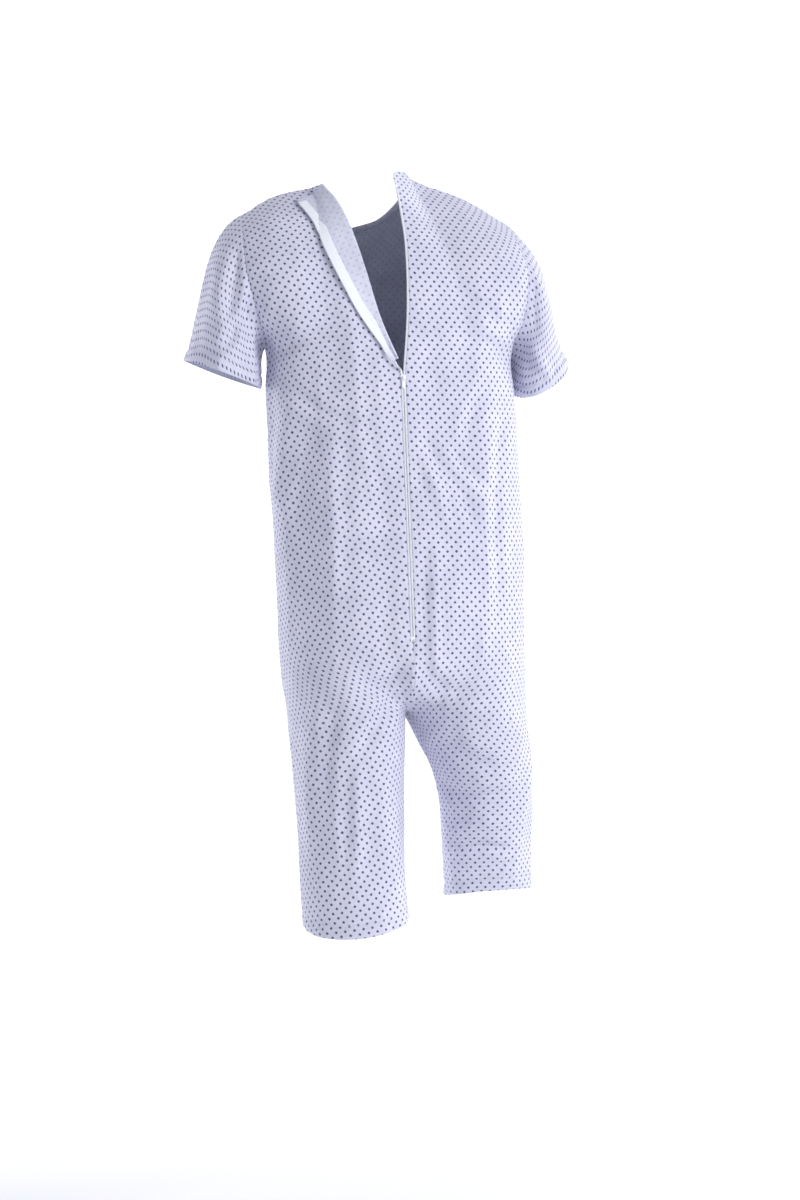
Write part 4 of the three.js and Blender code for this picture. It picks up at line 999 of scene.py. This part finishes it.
def printed_cotton(name, ground, shade, print_strength):
    """Plain-woven cotton blend, printed on one side: dull, slightly fuzzy, with uneven threads.
    The navy dots stand on a centred square lattice with paler ones half way between them."""
    material, tree, surface = new_material(name)
    values = settings()
    uv = node(tree, "ShaderNodeUVMap", uv_map="cloth").outputs[0]
    drift = node(tree, "ShaderNodeTexNoise", {"Vector": uv, "Scale": 160.0, "Detail": 2.0}).outputs["Color"]
    drift = node(tree, "ShaderNodeVectorMath", {0: drift, 1: (0.5, 0.5, 0.5)},
                 operation="SUBTRACT").outputs[0]
    drift = node(tree, "ShaderNodeVectorMath", {0: drift, 1: (PRINT_DRIFT, PRINT_DRIFT, 0.0)},
                 operation="MULTIPLY").outputs[0]
    printed_at = node(tree, "ShaderNodeVectorMath", {0: uv, 1: drift}, operation="ADD").outputs[0]
    cells = node(tree, "ShaderNodeVectorMath", {0: printed_at, "Scale": 1 / values.print_pitch},
                 operation="SCALE").outputs[0]
    radius = 0.5 * values.dot_size / values.print_pitch * 0.9
    pale_radius = 0.5 * values.pale_dot_size / values.print_pitch * 0.9
    navy = [dots(tree, cells, shift, radius, 0.035) for shift in ((0, 0), (0.5, 0.5))]
    pale = [dots(tree, cells, shift, pale_radius, 0.035) for shift in ((0.5, 0), (0, 0.5))]
    navy, pale = (node(tree, "ShaderNodeMath", {0: a, 1: b}, operation="MAXIMUM").outputs[0]
                  for a, b in (navy, pale))

    # Threads are 0.4 mm apart; they are drawn 1.2 mm apart so that the weave still shows from a metre.
    warp = node(tree, "ShaderNodeVectorMath", {0: uv, 1: (830.0, 60.0, 1.0)}, operation="MULTIPLY").outputs[0]
    weft = node(tree, "ShaderNodeVectorMath", {0: uv, 1: (60.0, 830.0, 1.0)}, operation="MULTIPLY").outputs[0]
    threads = [node(tree, "ShaderNodeTexNoise", {"Vector": v, "Scale": 1.0, "Detail": 1.0}).outputs["Fac"]
               for v in (warp, weft)]
    weave = node(tree, "ShaderNodeMath", {0: threads[0], 1: threads[1]}, operation="ADD").outputs[0]
    uneven = node(tree, "ShaderNodeTexNoise", {
        "Vector": uv, "Scale": 14.0, "Detail": 5.0, "Roughness": 0.62}).outputs["Fac"]
    tone = node(tree, "ShaderNodeMath", {0: weave, 1: 0.55, 2: uneven}, operation="MULTIPLY_ADD").outputs[0]
    tone = node(tree, "ShaderNodeMapRange", {
        "Value": tone, "From Min": 0.78, "From Max": 1.35}).outputs["Result"]
    colour = node(tree, "ShaderNodeMix", {
        "Factor": tone, "A": linear(shade), "B": linear(ground)}, data_type="RGBA")
    colour.clamp_factor = True
    strength = node(tree, "ShaderNodeMapRange", {
        "Value": threads[0], "From Min": 0.25, "From Max": 0.75, "To Min": 0.78 * print_strength,
        "To Max": print_strength}).outputs["Result"]
    for mask, ink, share in ((pale, values.pale_ink, 0.16), (navy, values.navy_ink, 1.0)):
        factor = node(tree, "ShaderNodeMath", {0: mask, 1: strength}, operation="MULTIPLY").outputs[0]
        factor = node(tree, "ShaderNodeMath", {0: factor, 1: share}, operation="MULTIPLY").outputs[0]
        before = colour.outputs["Result"]
        colour = node(tree, "ShaderNodeMix", {
            "Factor": factor, "A": before, "B": linear(ink)}, data_type="RGBA")
    tree.links.new(colour.outputs["Result"], surface.inputs["Base Color"])
    creased = node(tree, "ShaderNodeTexNoise", {
        "Vector": uv, "Scale": 75.0, "Detail": 4.0, "Distortion": 0.6}).outputs["Fac"]
    height = node(tree, "ShaderNodeMath", {0: creased, 1: 2.2, 2: weave}, operation="MULTIPLY_ADD").outputs[0]
    bump = node(tree, "ShaderNodeBump", {"Strength": 0.32, "Distance": 0.0006, "Height": height})
    tree.links.new(bump.outputs["Normal"], surface.inputs["Normal"])
    rough = node(tree, "ShaderNodeMapRange", {
        "Value": weave, "To Min": 0.82, "To Max": 0.93}).outputs["Result"]
    tree.links.new(rough, surface.inputs["Roughness"])
    surface.inputs["Sheen Weight"].default_value = 0.18
    surface.inputs["Sheen Roughness"].default_value = 0.5
    surface.inputs["Specular IOR Level"].default_value = 0.25
    return material


def woven_tape(name, colour_hex, shade_hex, rib):
    """Woven polyester: fine ribs in a herringbone, clean white, with a soft low gloss."""
    material, tree, surface = new_material(name)
    uv = node(tree, "ShaderNodeUVMap", uv_map="cloth").outputs[0]
    parts = node(tree, "ShaderNodeSeparateXYZ", {0: uv}).outputs
    fold = node(tree, "ShaderNodeMath", {0: parts[0], 1: 3.0 * rib}, operation="PINGPONG").outputs[0]
    slant = node(tree, "ShaderNodeMath", {0: parts[1], 1: fold}, operation="ADD").outputs[0]
    phase = node(tree, "ShaderNodeMath", {0: slant, 1: 2 * math.pi / rib}, operation="MULTIPLY").outputs[0]
    wave = node(tree, "ShaderNodeMath", {0: phase}, operation="SINE").outputs[0]
    share = node(tree, "ShaderNodeMapRange", {
        "Value": wave, "From Min": -1.0, "From Max": 1.0}).outputs["Result"]
    dust = node(tree, "ShaderNodeTexNoise", {"Vector": uv, "Scale": 90.0, "Detail": 4.0}).outputs["Fac"]
    tone = node(tree, "ShaderNodeMath", {0: dust, 1: share}, operation="MULTIPLY").outputs[0]
    tone = node(tree, "ShaderNodeMapRange", {
        "Value": tone, "From Min": 0.0, "From Max": 0.6}).outputs["Result"]
    colour = node(tree, "ShaderNodeMix", {
        "Factor": tone, "A": linear(shade_hex), "B": linear(colour_hex)}, data_type="RGBA")
    tree.links.new(colour.outputs["Result"], surface.inputs["Base Color"])
    bump = node(tree, "ShaderNodeBump", {"Strength": 0.5, "Distance": 0.0003, "Height": share})
    tree.links.new(bump.outputs["Normal"], surface.inputs["Normal"])
    surface.inputs["Roughness"].default_value = 0.66
    surface.inputs["Sheen Weight"].default_value = 0.35
    return material


def smooth_finish(name, colour_hex, shade_hex, roughness, coat, grain, depth):
    """A moulded or enamelled surface: an even colour with faint clouding and a fine skin."""
    material, tree, surface = new_material(name)
    place = node(tree, "ShaderNodeTexCoord").outputs["Object"]
    cloud = node(tree, "ShaderNodeTexNoise", {
        "Vector": place, "Scale": 0.35 / grain, "Detail": 4.0}).outputs["Fac"]
    skin = node(tree, "ShaderNodeTexNoise", {
        "Vector": place, "Scale": 1 / grain, "Detail": 2.0}).outputs["Fac"]
    colour = node(tree, "ShaderNodeMix", {
        "Factor": cloud, "A": linear(shade_hex), "B": linear(colour_hex)}, data_type="RGBA")
    tree.links.new(colour.outputs["Result"], surface.inputs["Base Color"])
    gloss = node(tree, "ShaderNodeMapRange", {
        "Value": cloud, "To Min": roughness + 0.08, "To Max": roughness - 0.06}).outputs["Result"]
    tree.links.new(gloss, surface.inputs["Roughness"])
    bump = node(tree, "ShaderNodeBump", {"Strength": 0.25, "Distance": depth, "Height": skin})
    tree.links.new(bump.outputs["Normal"], surface.inputs["Normal"])
    surface.inputs["Coat Weight"].default_value = coat
    surface.inputs["Coat Roughness"].default_value = 0.15
    return material


@functools.lru_cache(maxsize=None)
def finishes():
    """Every finish of the garment, made once."""
    values = settings()
    return {
        "cotton": printed_cotton("printed_cotton_face", values.cotton, values.cotton_shade, 1.0),
        "cotton_back": printed_cotton(
            "printed_cotton_wrong_side", values.wrong_side, values.cotton_shade, 0.22),
        "tape": woven_tape("woven_polyester_tape", "#F7F9FF", "#EBEFFC", 0.0016),
        "nylon": smooth_finish("nylon_monofilament", "#F7F9FF", "#EDF1FD", 0.38, 0.1, 0.0008, 0.00004),
        "enamel": smooth_finish("white_enamel_on_zinc", "#F7F8FC", "#E6E8F0", 0.3, 0.35, 0.0012, 0.00003),
        "thread": woven_tape("spun_polyester_thread", "#F1F3FA", "#CFD3E4", 0.0012),
    }


# ---- Pieces -------------------------------------------------------------------------------------

SIDE_NAMES = {LEFT: "left", RIGHT: "right"}


def flat_size(grid, *more):
    """Width, length and area in metres of the cloth that grids are cut from."""
    area = 0.0
    for cloth in (grid, *more):
        across = np.cross(cloth[1:, 1:] - cloth[:-1, :-1], cloth[1:, :-1] - cloth[:-1, 1:])
        area += 0.5 * np.linalg.norm(across, axis=-1).sum() * MM * MM
    return arc(grid, 1)[:, -1].max() * MM, arc(grid, 0)[-1].max() * MM, area


LAPEL_ALLOWANCE = 0.08  # metres added to the left back's flat width for its turned corner


def panel_piece(side, back):
    """One body panel with its thickness; the left back carries the lapel in the same cloth."""
    points, _, uv, flat = panels()[side, back]
    rows, columns = points.shape[:2]
    flip = (side if back else -side) < 0
    faces, where, marks = quads(rows, columns, flip), points.reshape(-1, 3), uv.reshape(-1, 2)
    extra = []
    if back and side == LEFT:
        grid, lapel_uv, lapel_rows = lapel()
        first, wide = len(where), grid.shape[1]
        seam = np.stack([first + np.arange(len(grid)) * wide + wide - 1, lapel_rows * columns], 1)
        joining = np.stack([seam[:-1, 0], seam[:-1, 1], seam[1:, 1], seam[1:, 0]], 1)
        joining = joining[:, ::-1] if flip else joining
        faces = np.concatenate([faces, quads(len(grid), wide, flip, first), joining])
        where = np.concatenate([where, grid.reshape(-1, 3)])
        marks = np.concatenate([marks, lapel_uv.reshape(-1, 2)])
        extra = [grid]
    name = f"{'back' if back else 'front'}_{SIDE_NAMES[side]}"
    found = finishes()
    piece = mesh_piece(f"cloth_{name}", where, faces, [found["cotton"], found["cotton_back"]], marks)
    thicken(piece, settings().cloth_thickness, inner_material=1)
    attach(piece, "root")
    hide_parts(name)
    width, length, area = flat_size(flat, *extra)
    width = width + LAPEL_ALLOWANCE if extra else width


def sleeve_piece(side):
    """One sleeve with its thickness."""
    points, _, uv, flat = sleeve(side)
    found = finishes()
    name = f"sleeve_{SIDE_NAMES[side]}"
    faces = quads(*points.shape[:2], flip=side < 0)
    piece = mesh_piece(f"cloth_{name}", points, faces, [found["cotton"], found["cotton_back"]], uv)
    merge_points(piece)
    thicken(piece, settings().cloth_thickness, inner_material=1)
    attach(piece, "root")
    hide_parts(name)


TOOTH_PITCH = 1.5  # along one half of the chain
TIP_GAP = 0.32  # centre line of the zip to the tips of the teeth


def zip_runs():
    """Both tapes' runs by side."""
    return {LEFT: left_run(), RIGHT: right_run()}


def tape_piece(side):
    """A tape with a fine woven edge; the left one narrows where it turns over beside the slider."""
    name = f"zip_tape_{SIDE_NAMES[side]}"
    if side == RIGHT:
        run = resampled(zip_runs()[side], TAPE_STATION)
        piece = ribbon(f"woven_{name}", run, -TAPE_LIP, TAPE_WIDTH, finishes()["tape"], columns=7,
                       thickness=TAPE_THICKNESS)
    else:
        grid = left_tape_grid()
        uv = np.stack([arc(grid, 1), arc(grid, 0)], -1) * MM
        piece = mesh_piece(f"woven_{name}", grid, quads(*grid.shape[:2], flip=True), [finishes()["tape"]], uv)
        thicken(piece, TAPE_THICKNESS * MM)
    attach(piece, "root")
    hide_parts(name)


def coil_piece(side):
    """Half of the chain: one rounded tooth every pitch."""
    run = zip_runs()[side]
    length = arc(run[0], 0)[-1]
    shift = 0.0 if side == LEFT else TOOTH_PITCH / 2
    at, across, out, along = resampled(run, TOOTH_PITCH, BELOW_END + shift, length - 6)
    centre = at + out * (CLEARANCE + COIL_THICKNESS / 2) - across * (COIL_HALF_GAP - TIP_GAP)
    tooth = bar(COIL_WIDTH + 0.9, (0.4, 0.72, 0.68, 0.7, 0.45), (0.5, 0.7, 0.62, 0.62, 0.4))
    points, faces = repeated(tooth, centre, across, out, along)
    name = f"zip_coil_{SIDE_NAMES[side]}"
    piece = mesh_piece(f"teeth_{name}", points, faces, [finishes()["nylon"]])
    face_outward(piece)
    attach(piece, "root")
    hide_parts(name)


def face_outward(piece):
    """Turns the faces of closed bodies to point out."""
    work = bmesh.new()
    work.from_mesh(piece.data)
    bmesh.ops.recalc_face_normals(work, faces=work.faces)
    work.to_mesh(piece.data)
    work.free()


def rounded_hardware(node_name, body, edge):
    """A small cast piece with the shape of its CAD node and softened edges."""
    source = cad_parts[node_name]
    piece = bpy.data.objects.new(f"cast_{node_name}", source.data.copy())
    bpy.context.scene.collection.objects.link(piece)
    merge_points(piece)
    if node_name == "zip_slider_body":
        narrow_post(piece)
    piece.data.materials.clear()
    piece.data.materials.append(finishes()["enamel"])
    bevel = piece.modifiers.new("Softened edges", "BEVEL")
    bevel.width = edge
    bevel.segments = 3
    bevel.limit_method = "ANGLE"
    bevel.angle_limit = math.radians(35)
    bevel.harden_normals = False
    even_shading(piece)
    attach(piece, body)
    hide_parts(node_name)


POST_HALF = 0.55  # half width of the slider's dividing post in its node
POST_SHARE = 0.42


def narrow_post(piece):
    """Makes the dividing post between the slider's plates slimmer than the gap between the teeth."""
    points = np.empty(len(piece.data.vertices) * 3)
    piece.data.vertices.foreach_get("co", points)
    points = points.reshape(-1, 3)
    aside = (points / MM - ZIP_TOP) @ ZIP_ACROSS
    on_post = np.abs(np.abs(aside) - POST_HALF) < 0.08
    points -= np.where(on_post, aside * (1 - POST_SHARE), 0)[:, None] * ZIP_ACROSS * MM
    piece.data.vertices.foreach_set("co", points.ravel())


def even_shading(piece):
    """Smooth shading, weighted by area so that large faces look flat."""
    faces = piece.data.polygons
    faces.foreach_set("use_smooth", np.ones(len(faces), bool))
    weighted = piece.modifiers.new("Even shading", "WEIGHTED_NORMAL")
    weighted.keep_sharp = False


def line_run(points, normals, spacing, cut_start=0.0, cut_end=0.0, closed=False):
    """Stations along a line on the cloth: across is level with the cloth, out is its normal."""
    if closed:
        points, normals = np.concatenate([points, points[:1]]), np.concatenate([normals, normals[:1]])
    along = unit(np.gradient(points, axis=0))
    across = unit(np.cross(along, normals))
    length = arc(points, 0)[-1]
    return resampled((points, across, normals), spacing, cut_start, length - cut_end)


STITCH = 3.2  # from one stitch to the next
STITCH_SHARE = 0.82  # share of it that the thread shows on
STITCH_BOW = 0.28  # how high the thread stands in its middle


def stitch_piece(node_name, points, normals):
    """A row of lock stitches: short threads that dip into the cloth at both ends."""
    at, across, out, along = line_run(points, normals, STITCH, closed=True)
    length = STITCH * STITCH_SHARE
    thread, sides = bar(length, (0.1, 0.32, 0.36, 0.32, 0.1), (0.16, 0.3, 0.32, 0.3, 0.16))
    thread[:, 1] += STITCH_BOW * np.sin(math.pi * thread[:, 0] / length)
    placed, faces = repeated((thread, sides), at[:-1] + out[:-1] * 0.05, along[:-1], out[:-1], across[:-1])
    uv = placed[:, [0, 2]] * MM
    piece = mesh_piece(f"thread_{node_name}", placed, faces, [finishes()["thread"]], uv)
    face_outward(piece)
    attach(piece, "root")
    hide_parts(node_name)


def hem_line(points, flat, normals, height):
    """Points and normals at a height above the first row, along each column."""
    up = arc(flat, 0)
    row = np.argmax(up >= height, axis=0)
    columns = np.arange(points.shape[1])
    share = ((height - up[row - 1, columns]) / (up[row, columns] - up[row - 1, columns]))[:, None]
    line = mix(points[row - 1, columns], points[row, columns], share)
    return line, unit(mix(normals[row - 1, columns], normals[row, columns], share))


def neck_column():
    """Column of every body panel where the neckline meets the shoulder seam."""
    return 2 + (panels()[RIGHT, True][0].shape[1] - 5) // 3


def seam_piece(node_name, points, normals, cut_start, cut_end, half=3.4, closed=False):
    """An overlocked allowance inside a seam, a little uneven, bound with looped thread."""
    run = line_run(points, normals, 3.0, cut_start, cut_end, closed)
    wave = 0.4 * lattice_noise(run[0] / (12, 12, 12), 61)
    depth = -(settings().cloth_thickness / MM + 1.6)
    piece = ribbon(f"overlock_{node_name}", run, -half + wave, half + wave, finishes()["thread"],
                   lift=depth, thickness=0.7)
    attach(piece, "root")
    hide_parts(node_name)


# ---- Operators ----------------------------------------------------------------------------------


class OVERALL_OT_stage(bpy.types.Operator):
    """Places the camera, the soft studio lights and the pale floor with its raised back"""

    bl_idname = "overall.stage"
    bl_label = "Stage"

    def execute(self, context):
        scene = context.scene
        aim = np.array([0.062, 0.0, -0.663])
        toward_camera, to_right = np.array([-0.208, -0.978, 0.0]), np.array([0.978, -0.208, 0.0])
        camera = bpy.data.objects.new("camera", bpy.data.cameras.new("camera"))
        camera.data.lens = 87
        camera.location = aim + toward_camera * 4.5
        camera.rotation_euler = (math.pi / 2, 0, math.atan2(to_right[1], to_right[0]))
        scene.collection.objects.link(camera)
        scene.camera = camera
        soft_light(scene, "key_light", aim + toward_camera * 2.6 + to_right * 2.7 + (0, 0, 1.3), aim, 1.8, 94)
        soft_light(scene, "fill_light", aim + toward_camera * 3.0 - to_right * 2.6 + (0, 0, 0.5), aim, 2.6, 6)
        backdrop = aim - toward_camera * 4.4
        for name, way in (("backdrop_light_left", -1), ("backdrop_light_right", 1)):
            place = aim - toward_camera * 1.6 + to_right * way * 3.4 + (0, 0, 1.0)
            soft_light(scene, name, place, backdrop, 2.4, 120)
        world = bpy.data.worlds.new("studio")
        world.use_nodes = True
        world.node_tree.nodes["Background"].inputs["Color"].default_value = linear("#F6F7FC")
        world.node_tree.nodes["Background"].inputs["Strength"].default_value = 0.5
        scene.world = world
        scene.view_settings.view_transform = "Standard"
        studio_floor()
        return {"FINISHED"}


def soft_light(scene, name, place, aim, size, watts):
    """A square area lamp at a place, turned to face its aim."""
    lamp = bpy.data.objects.new(name, bpy.data.lights.new(name, "AREA"))
    lamp.data.size = size
    lamp.data.energy = watts
    lamp.location = place
    lamp.rotation_euler = Vector(place - aim).to_track_quat("Z", "Y").to_euler()
    scene.collection.objects.link(lamp)


def studio_floor():
    """A floor that curves up into a backdrop behind the garment: straight, a quarter turn, straight."""
    material, tree, surface = new_material("matt_painted_floor")
    surface.inputs["Base Color"].default_value = linear("#F4F5F8")
    surface.inputs["Roughness"].default_value = 0.9
    place = node(tree, "ShaderNodeTexCoord").outputs["Object"]
    grain = node(tree, "ShaderNodeTexNoise", {"Vector": place, "Scale": 300.0, "Detail": 3.0}).outputs["Fac"]
    bump = node(tree, "ShaderNodeBump", {"Strength": 0.1, "Distance": 0.0004, "Height": grain})
    tree.links.new(bump.outputs["Normal"], surface.inputs["Normal"])
    floor_z, radius, start, end = -1547.0, 1500.0, -7000.0, 3200.0
    turn = np.linspace(0, math.pi / 2, 24)
    y = np.concatenate([[start], end + radius * np.sin(turn), [end + radius]])
    z = floor_z + np.concatenate([[0], radius * (1 - np.cos(turn)), [6000.0]])
    x = np.linspace(-9000, 9000, 3)
    points = np.stack(np.broadcast_arrays(x[None, :], y[:, None], z[:, None]), -1)
    return mesh_piece("studio_floor", points, quads(*points.shape[:2]), [material])


class OVERALL_OT_panels(bpy.types.Operator):
    """Builds the four body panels, the left back with its turned-out lapel"""

    bl_idname = "overall.panels"
    bl_label = "Body panels"

    def execute(self, context):
        for side in (LEFT, RIGHT):
            for back in (True, False):
                panel_piece(side, back)
        return {"FINISHED"}


class OVERALL_OT_sleeves(bpy.types.Operator):
    """Builds the two short sleeves"""

    bl_idname = "overall.sleeves"
    bl_label = "Sleeves"

    def execute(self, context):
        for side in (LEFT, RIGHT):
            sleeve_piece(side)
        return {"FINISHED"}


class OVERALL_OT_tapes(bpy.types.Operator):
    """Builds the zip's two woven tapes"""

    bl_idname = "overall.tapes"
    bl_label = "Zip tapes"

    def execute(self, context):
        for side in (LEFT, RIGHT):
            tape_piece(side)
        return {"FINISHED"}


class OVERALL_OT_chain(bpy.types.Operator):
    """Builds the two halves of the zip's chain, tooth by tooth"""

    bl_idname = "overall.chain"
    bl_label = "Zip chain"

    def execute(self, context):
        for side in (LEFT, RIGHT):
            coil_piece(side)
        return {"FINISHED"}


class OVERALL_OT_hardware(bpy.types.Operator):
    """Builds the slider, its pull tab and the three stops"""

    bl_idname = "overall.hardware"
    bl_label = "Slider, tab and stops"

    def execute(self, context):
        rounded_hardware("zip_slider_body", "slider", 0.00028)
        rounded_hardware("zip_pull_tab", "pull_tab", 0.00028)
        for name in ("zip_top_stop_left", "zip_top_stop_right", "zip_bottom_stop"):
            rounded_hardware(name, "root", 0.0002)
        return {"FINISHED"}


class OVERALL_OT_stitching(bpy.types.Operator):
    """Sews the rows of hem stitches round the sleeves and the legs"""

    bl_idname = "overall.stitching"
    bl_label = "Hem stitching"

    def execute(self, context):
        for side in (LEFT, RIGHT):
            points, normals, _, flat = (grid[::-1, :-1] for grid in sleeve(side))
            stitch_piece(f"hem_stitch_sleeve_{SIDE_NAMES[side]}", *hem_line(points, flat, normals, HEM_DEPTH))
            lines = []
            for back in (True, False):
                points, normals, _, flat = panels()[side, back]
                line, out = hem_line(points, flat, normals, HEM_DEPTH)
                lines.append((line, out) if back else (line[-2:0:-1], out[-2:0:-1]))
            stitch_piece(f"hem_stitch_leg_{SIDE_NAMES[side]}",
                         *(np.concatenate([lines[0][k], lines[1][k]]) for k in (0, 1)))
        return {"FINISHED"}


class OVERALL_OT_seams(bpy.types.Operator):
    """Builds the overlocked allowances inside every seam"""

    bl_idname = "overall.seams"
    bl_label = "Seam allowances"

    def execute(self, context):
        crotch, _, zip_end, yoke = row_marks()
        for side in (LEFT, RIGHT):
            name = SIDE_NAMES[side]
            points, normals = panels()[side, True][:2]
            seam_piece(f"side_seam_{name}", points[:yoke, -1], normals[:yoke, -1], 4, 16)
            seam_piece(f"inseam_{name}", points[:crotch, 0], normals[:crotch, 0], 4, 8)
            points, normals = panels()[side, False][:2]
            neck = neck_column()
            seam_piece(f"shoulder_seam_{name}", points[-1, neck:], normals[-1, neck:], 14, 18, half=1.8)
            points, normals = (grid[:, :-1] for grid in sleeve(side)[:2])
            seam_piece(f"armhole_seam_{name}", points[4], normals[4], 0, 0, half=2.6, closed=True)
        points, normals = panels()[RIGHT, False][:2]
        seam_piece("centre_front_seam", points[crotch:, 0], normals[crotch:, 0], 14, 18)
        points, normals = panels()[RIGHT, True][:2]
        seam_piece("centre_back_seam", points[crotch:zip_end, 0], normals[crotch:zip_end, 0], 14, 14)
        return {"FINISHED"}


class OVERALL_OT_neck_binding(bpy.types.Operator):
    """Builds the narrow binding inside the neckline"""

    bl_idname = "overall.neck_binding"
    bl_label = "Neck binding"

    def execute(self, context):
        neck = neck_column() + 1
        edges = []
        for side, back, way in ((RIGHT, True, 1), (RIGHT, False, -1), (LEFT, False, 1), (LEFT, True, -1)):
            points, normals = panels()[side, back][:2]
            strip = points[-1, :neck], normals[-1, :neck], points[-6, :neck]
            edges.append([grid[::way] for grid in strip])
        line, out, below = (
            np.concatenate([edges[0][k][1:], *(e[k][1:] for e in edges[1:])]) for k in range(3))
        down = unit(below - line)
        run = resampled((line, down, out), 3.0, 0.0, arc(line, 0)[-1] - 12)
        piece = ribbon("bound_neckline", run, 1.0, 8.0, finishes()["cotton_back"], lift=-2.6, thickness=0.8)
        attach(piece, "root")
        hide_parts("neck_binding")
        return {"FINISHED"}


OPERATORS = (
    OVERALL_OT_stage, OVERALL_OT_panels, OVERALL_OT_sleeves, OVERALL_OT_tapes, OVERALL_OT_chain,
    OVERALL_OT_hardware, OVERALL_OT_stitching, OVERALL_OT_seams, OVERALL_OT_neck_binding)


class OVERALL_PT_sidebar(bpy.types.Panel):
    """Lists the sizes and the pieces of the overall"""

    bl_idname = "OVERALL_PT_sidebar"
    bl_label = "Patient overall"
    bl_space_type = "VIEW_3D"
    bl_region_type = "UI"
    bl_category = "Overall"

    def draw(self, context):
        for name in OverallSettings.__annotations__:
            self.layout.prop(context.scene.overall_settings, name)
        for operator in OPERATORS:
            self.layout.operator(operator.bl_idname)


CLASSES = (OverallSettings, *OPERATORS, OVERALL_PT_sidebar)


def register():
    """Registers every class and the settings."""
    for made in CLASSES:
        bpy.utils.register_class(made)
    bpy.types.Scene.overall_settings = bpy.props.PointerProperty(type=OverallSettings)


def unregister():
    """Removes what register added, in reverse."""
    del bpy.types.Scene.overall_settings
    for made in reversed(CLASSES):
        bpy.utils.unregister_class(made)


def main():
    """Registers the add-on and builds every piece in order."""
    register()
    for operator in OPERATORS:
        group, name = operator.bl_idname.split(".")
        getattr(getattr(bpy.ops, group), name)()


if __name__ == "__main__":
    main()
